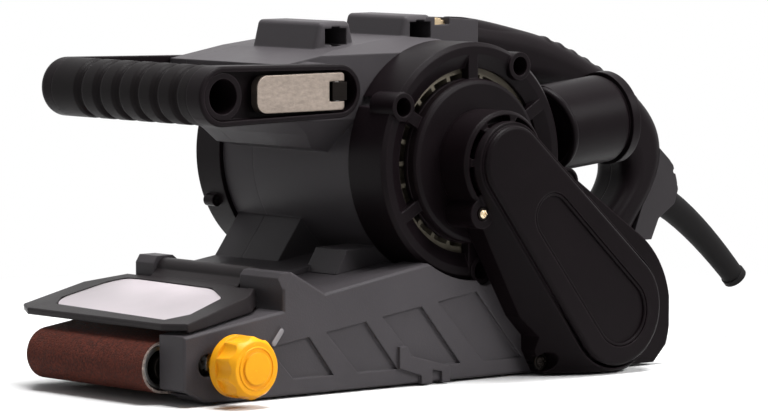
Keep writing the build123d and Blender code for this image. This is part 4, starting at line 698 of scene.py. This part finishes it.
def seen_directly(tree):
    """One for rays from the eye, a mirror or through glass, nought for the light that falls on things."""
    path = tree.nodes.new("ShaderNodeLightPath").outputs
    mirrored = math_node(tree, "MAXIMUM", path["Is Glossy Ray"], path["Is Transmission Ray"])
    return math_node(tree, "MAXIMUM", path["Is Camera Ray"], mirrored)


def even_grey(level):
    """A grey of one level in all three colours."""
    return (level, level, level, 1.0)


def floor_finish():
    """Pale matt floor that holds the shadow close to the tool and fades to plain white further out. The light
    that it throws back on the tool is that of a darker grey."""
    middle, fade_band = (0.07, 0.0, 0.0), (0.17, 0.44)
    dark_cloud, light_cloud, thrown_back = even_grey(0.90), even_grey(0.94), even_grey(0.44)
    material, tree, shader = new_material("pale_floor")
    place = object_place(tree)
    cloud = noise(tree, place, scale=1.5, detail=2.0, rough=0.5)
    pale = mix_colour(tree, cloud, dark_cloud, light_cloud)
    seen = seen_directly(tree)
    feed(tree, mix_colour(tree, seen, thrown_back, pale), shader.inputs["Base Color"])
    shader.inputs["Roughness"].default_value = 0.9
    shader.inputs["Specular IOR Level"].default_value = 0.1
    distance = vector_node(tree, "DISTANCE", place, middle)["Value"]
    white = tree.nodes.new("ShaderNodeEmission")
    fade = tree.nodes.new("ShaderNodeMixShader")
    feed(tree, math_node(tree, "MULTIPLY", spread(tree, distance, fade_band, UNIT), seen), fade.inputs["Fac"])
    feed(tree, shader.outputs["BSDF"], fade.inputs[1])
    feed(tree, white.outputs["Emission"], fade.inputs[2])
    feed(tree, fade.outputs["Shader"], tree.nodes["Material Output"].inputs["Surface"])
    return material


def make_floor():
    """A square sheet: x and y run over a two-by-two grid, at one height just under the tool."""
    half_size, drop = 14.0, 0.0002
    x, y = np.meshgrid((-half_size, half_size), (-half_size, half_size))
    points = np.stack((x.ravel(), y.ravel(), np.full(4, -drop)), axis=1)
    mesh = bpy.data.meshes.new("floor")
    mesh.from_pydata(points.tolist(), [], [(0, 1, 3, 2)])
    mesh.materials.append(floor_finish())
    floor = bpy.data.objects.new("floor", mesh)
    scene.collection.objects.link(floor)


def stand(right, up, back, place):
    """The matrix of something that stands at a place: three unit directions and the place as its columns."""
    columns = np.column_stack((right, up, back, place))
    return Matrix(np.vstack((columns, (0.0, 0.0, 0.0, 1.0))).tolist())


def soft_light(name, place, size, power):
    """A soft lamp of a width and a height in metres, turned towards the middle of the tool."""
    target = np.array((0.04, 0.0, 0.07))
    lamp = bpy.data.lights.new(name, "AREA")
    lamp.shape = "RECTANGLE"
    lamp.size, lamp.size_y = size
    lamp.energy = power
    holder = bpy.data.objects.new(name, lamp)
    scene.collection.objects.link(holder)
    back = (place - target) / np.linalg.norm(place - target)
    side = np.cross((0.0, 0.0, 1.0), back)
    side = side / np.linalg.norm(side)
    holder.matrix_world = stand(side, np.cross(back, side), back, place)


def studio_world():
    """Even pale surroundings that give a little light; the camera sees plain white beyond the floor."""
    fill, white = 0.055, 1.0
    world = bpy.data.worlds.new("studio")
    scene.world = world
    world.use_nodes = True
    tree = world.node_tree
    sky = tree.nodes["Background"]
    sky.inputs["Color"].default_value = even_grey(1.0)
    feed(tree, spread(tree, seen_directly(tree), UNIT, (fill, white)), sky.inputs["Strength"])


def photo_camera():
    """The viewpoint fitted to the photograph: turned and raised about a target at a set distance."""
    azimuth, elevation, distance = math.radians(-40.8), math.radians(4.54), 2.1558
    target = np.array((0.04719, 0.0, 0.0668))
    focal_pixels, sensor, clip_end = 5185.2, 36.0, 60.0
    level = math.cos(elevation)
    back = np.array((math.sin(azimuth) * level, -math.cos(azimuth) * level, math.sin(elevation)))
    right = np.array((math.cos(azimuth), math.sin(azimuth), 0.0))
    camera = bpy.data.objects.new("camera", bpy.data.cameras.new("camera"))
    scene.collection.objects.link(camera)
    camera.data.sensor_fit = "HORIZONTAL"
    camera.data.sensor_width = sensor
    camera.data.lens = focal_pixels / PHOTO_WIDTH * sensor
    camera.data.clip_end = clip_end
    camera.matrix_world = stand(right, np.cross(back, right), back, target + back * distance)
    scene.camera = camera


make_floor()
soft_light("key_near", place=(0.80, -1.40, 1.10), size=(1.0, 0.8), power=28.0)
soft_light("top_soft", place=(0.10, -0.10, 1.6), size=(1.0, 0.9), power=46.0)
soft_light("fill_front", place=(-1.35, -1.0, 0.55), size=(0.9, 0.9), power=2.0)
studio_world()
photo_camera()
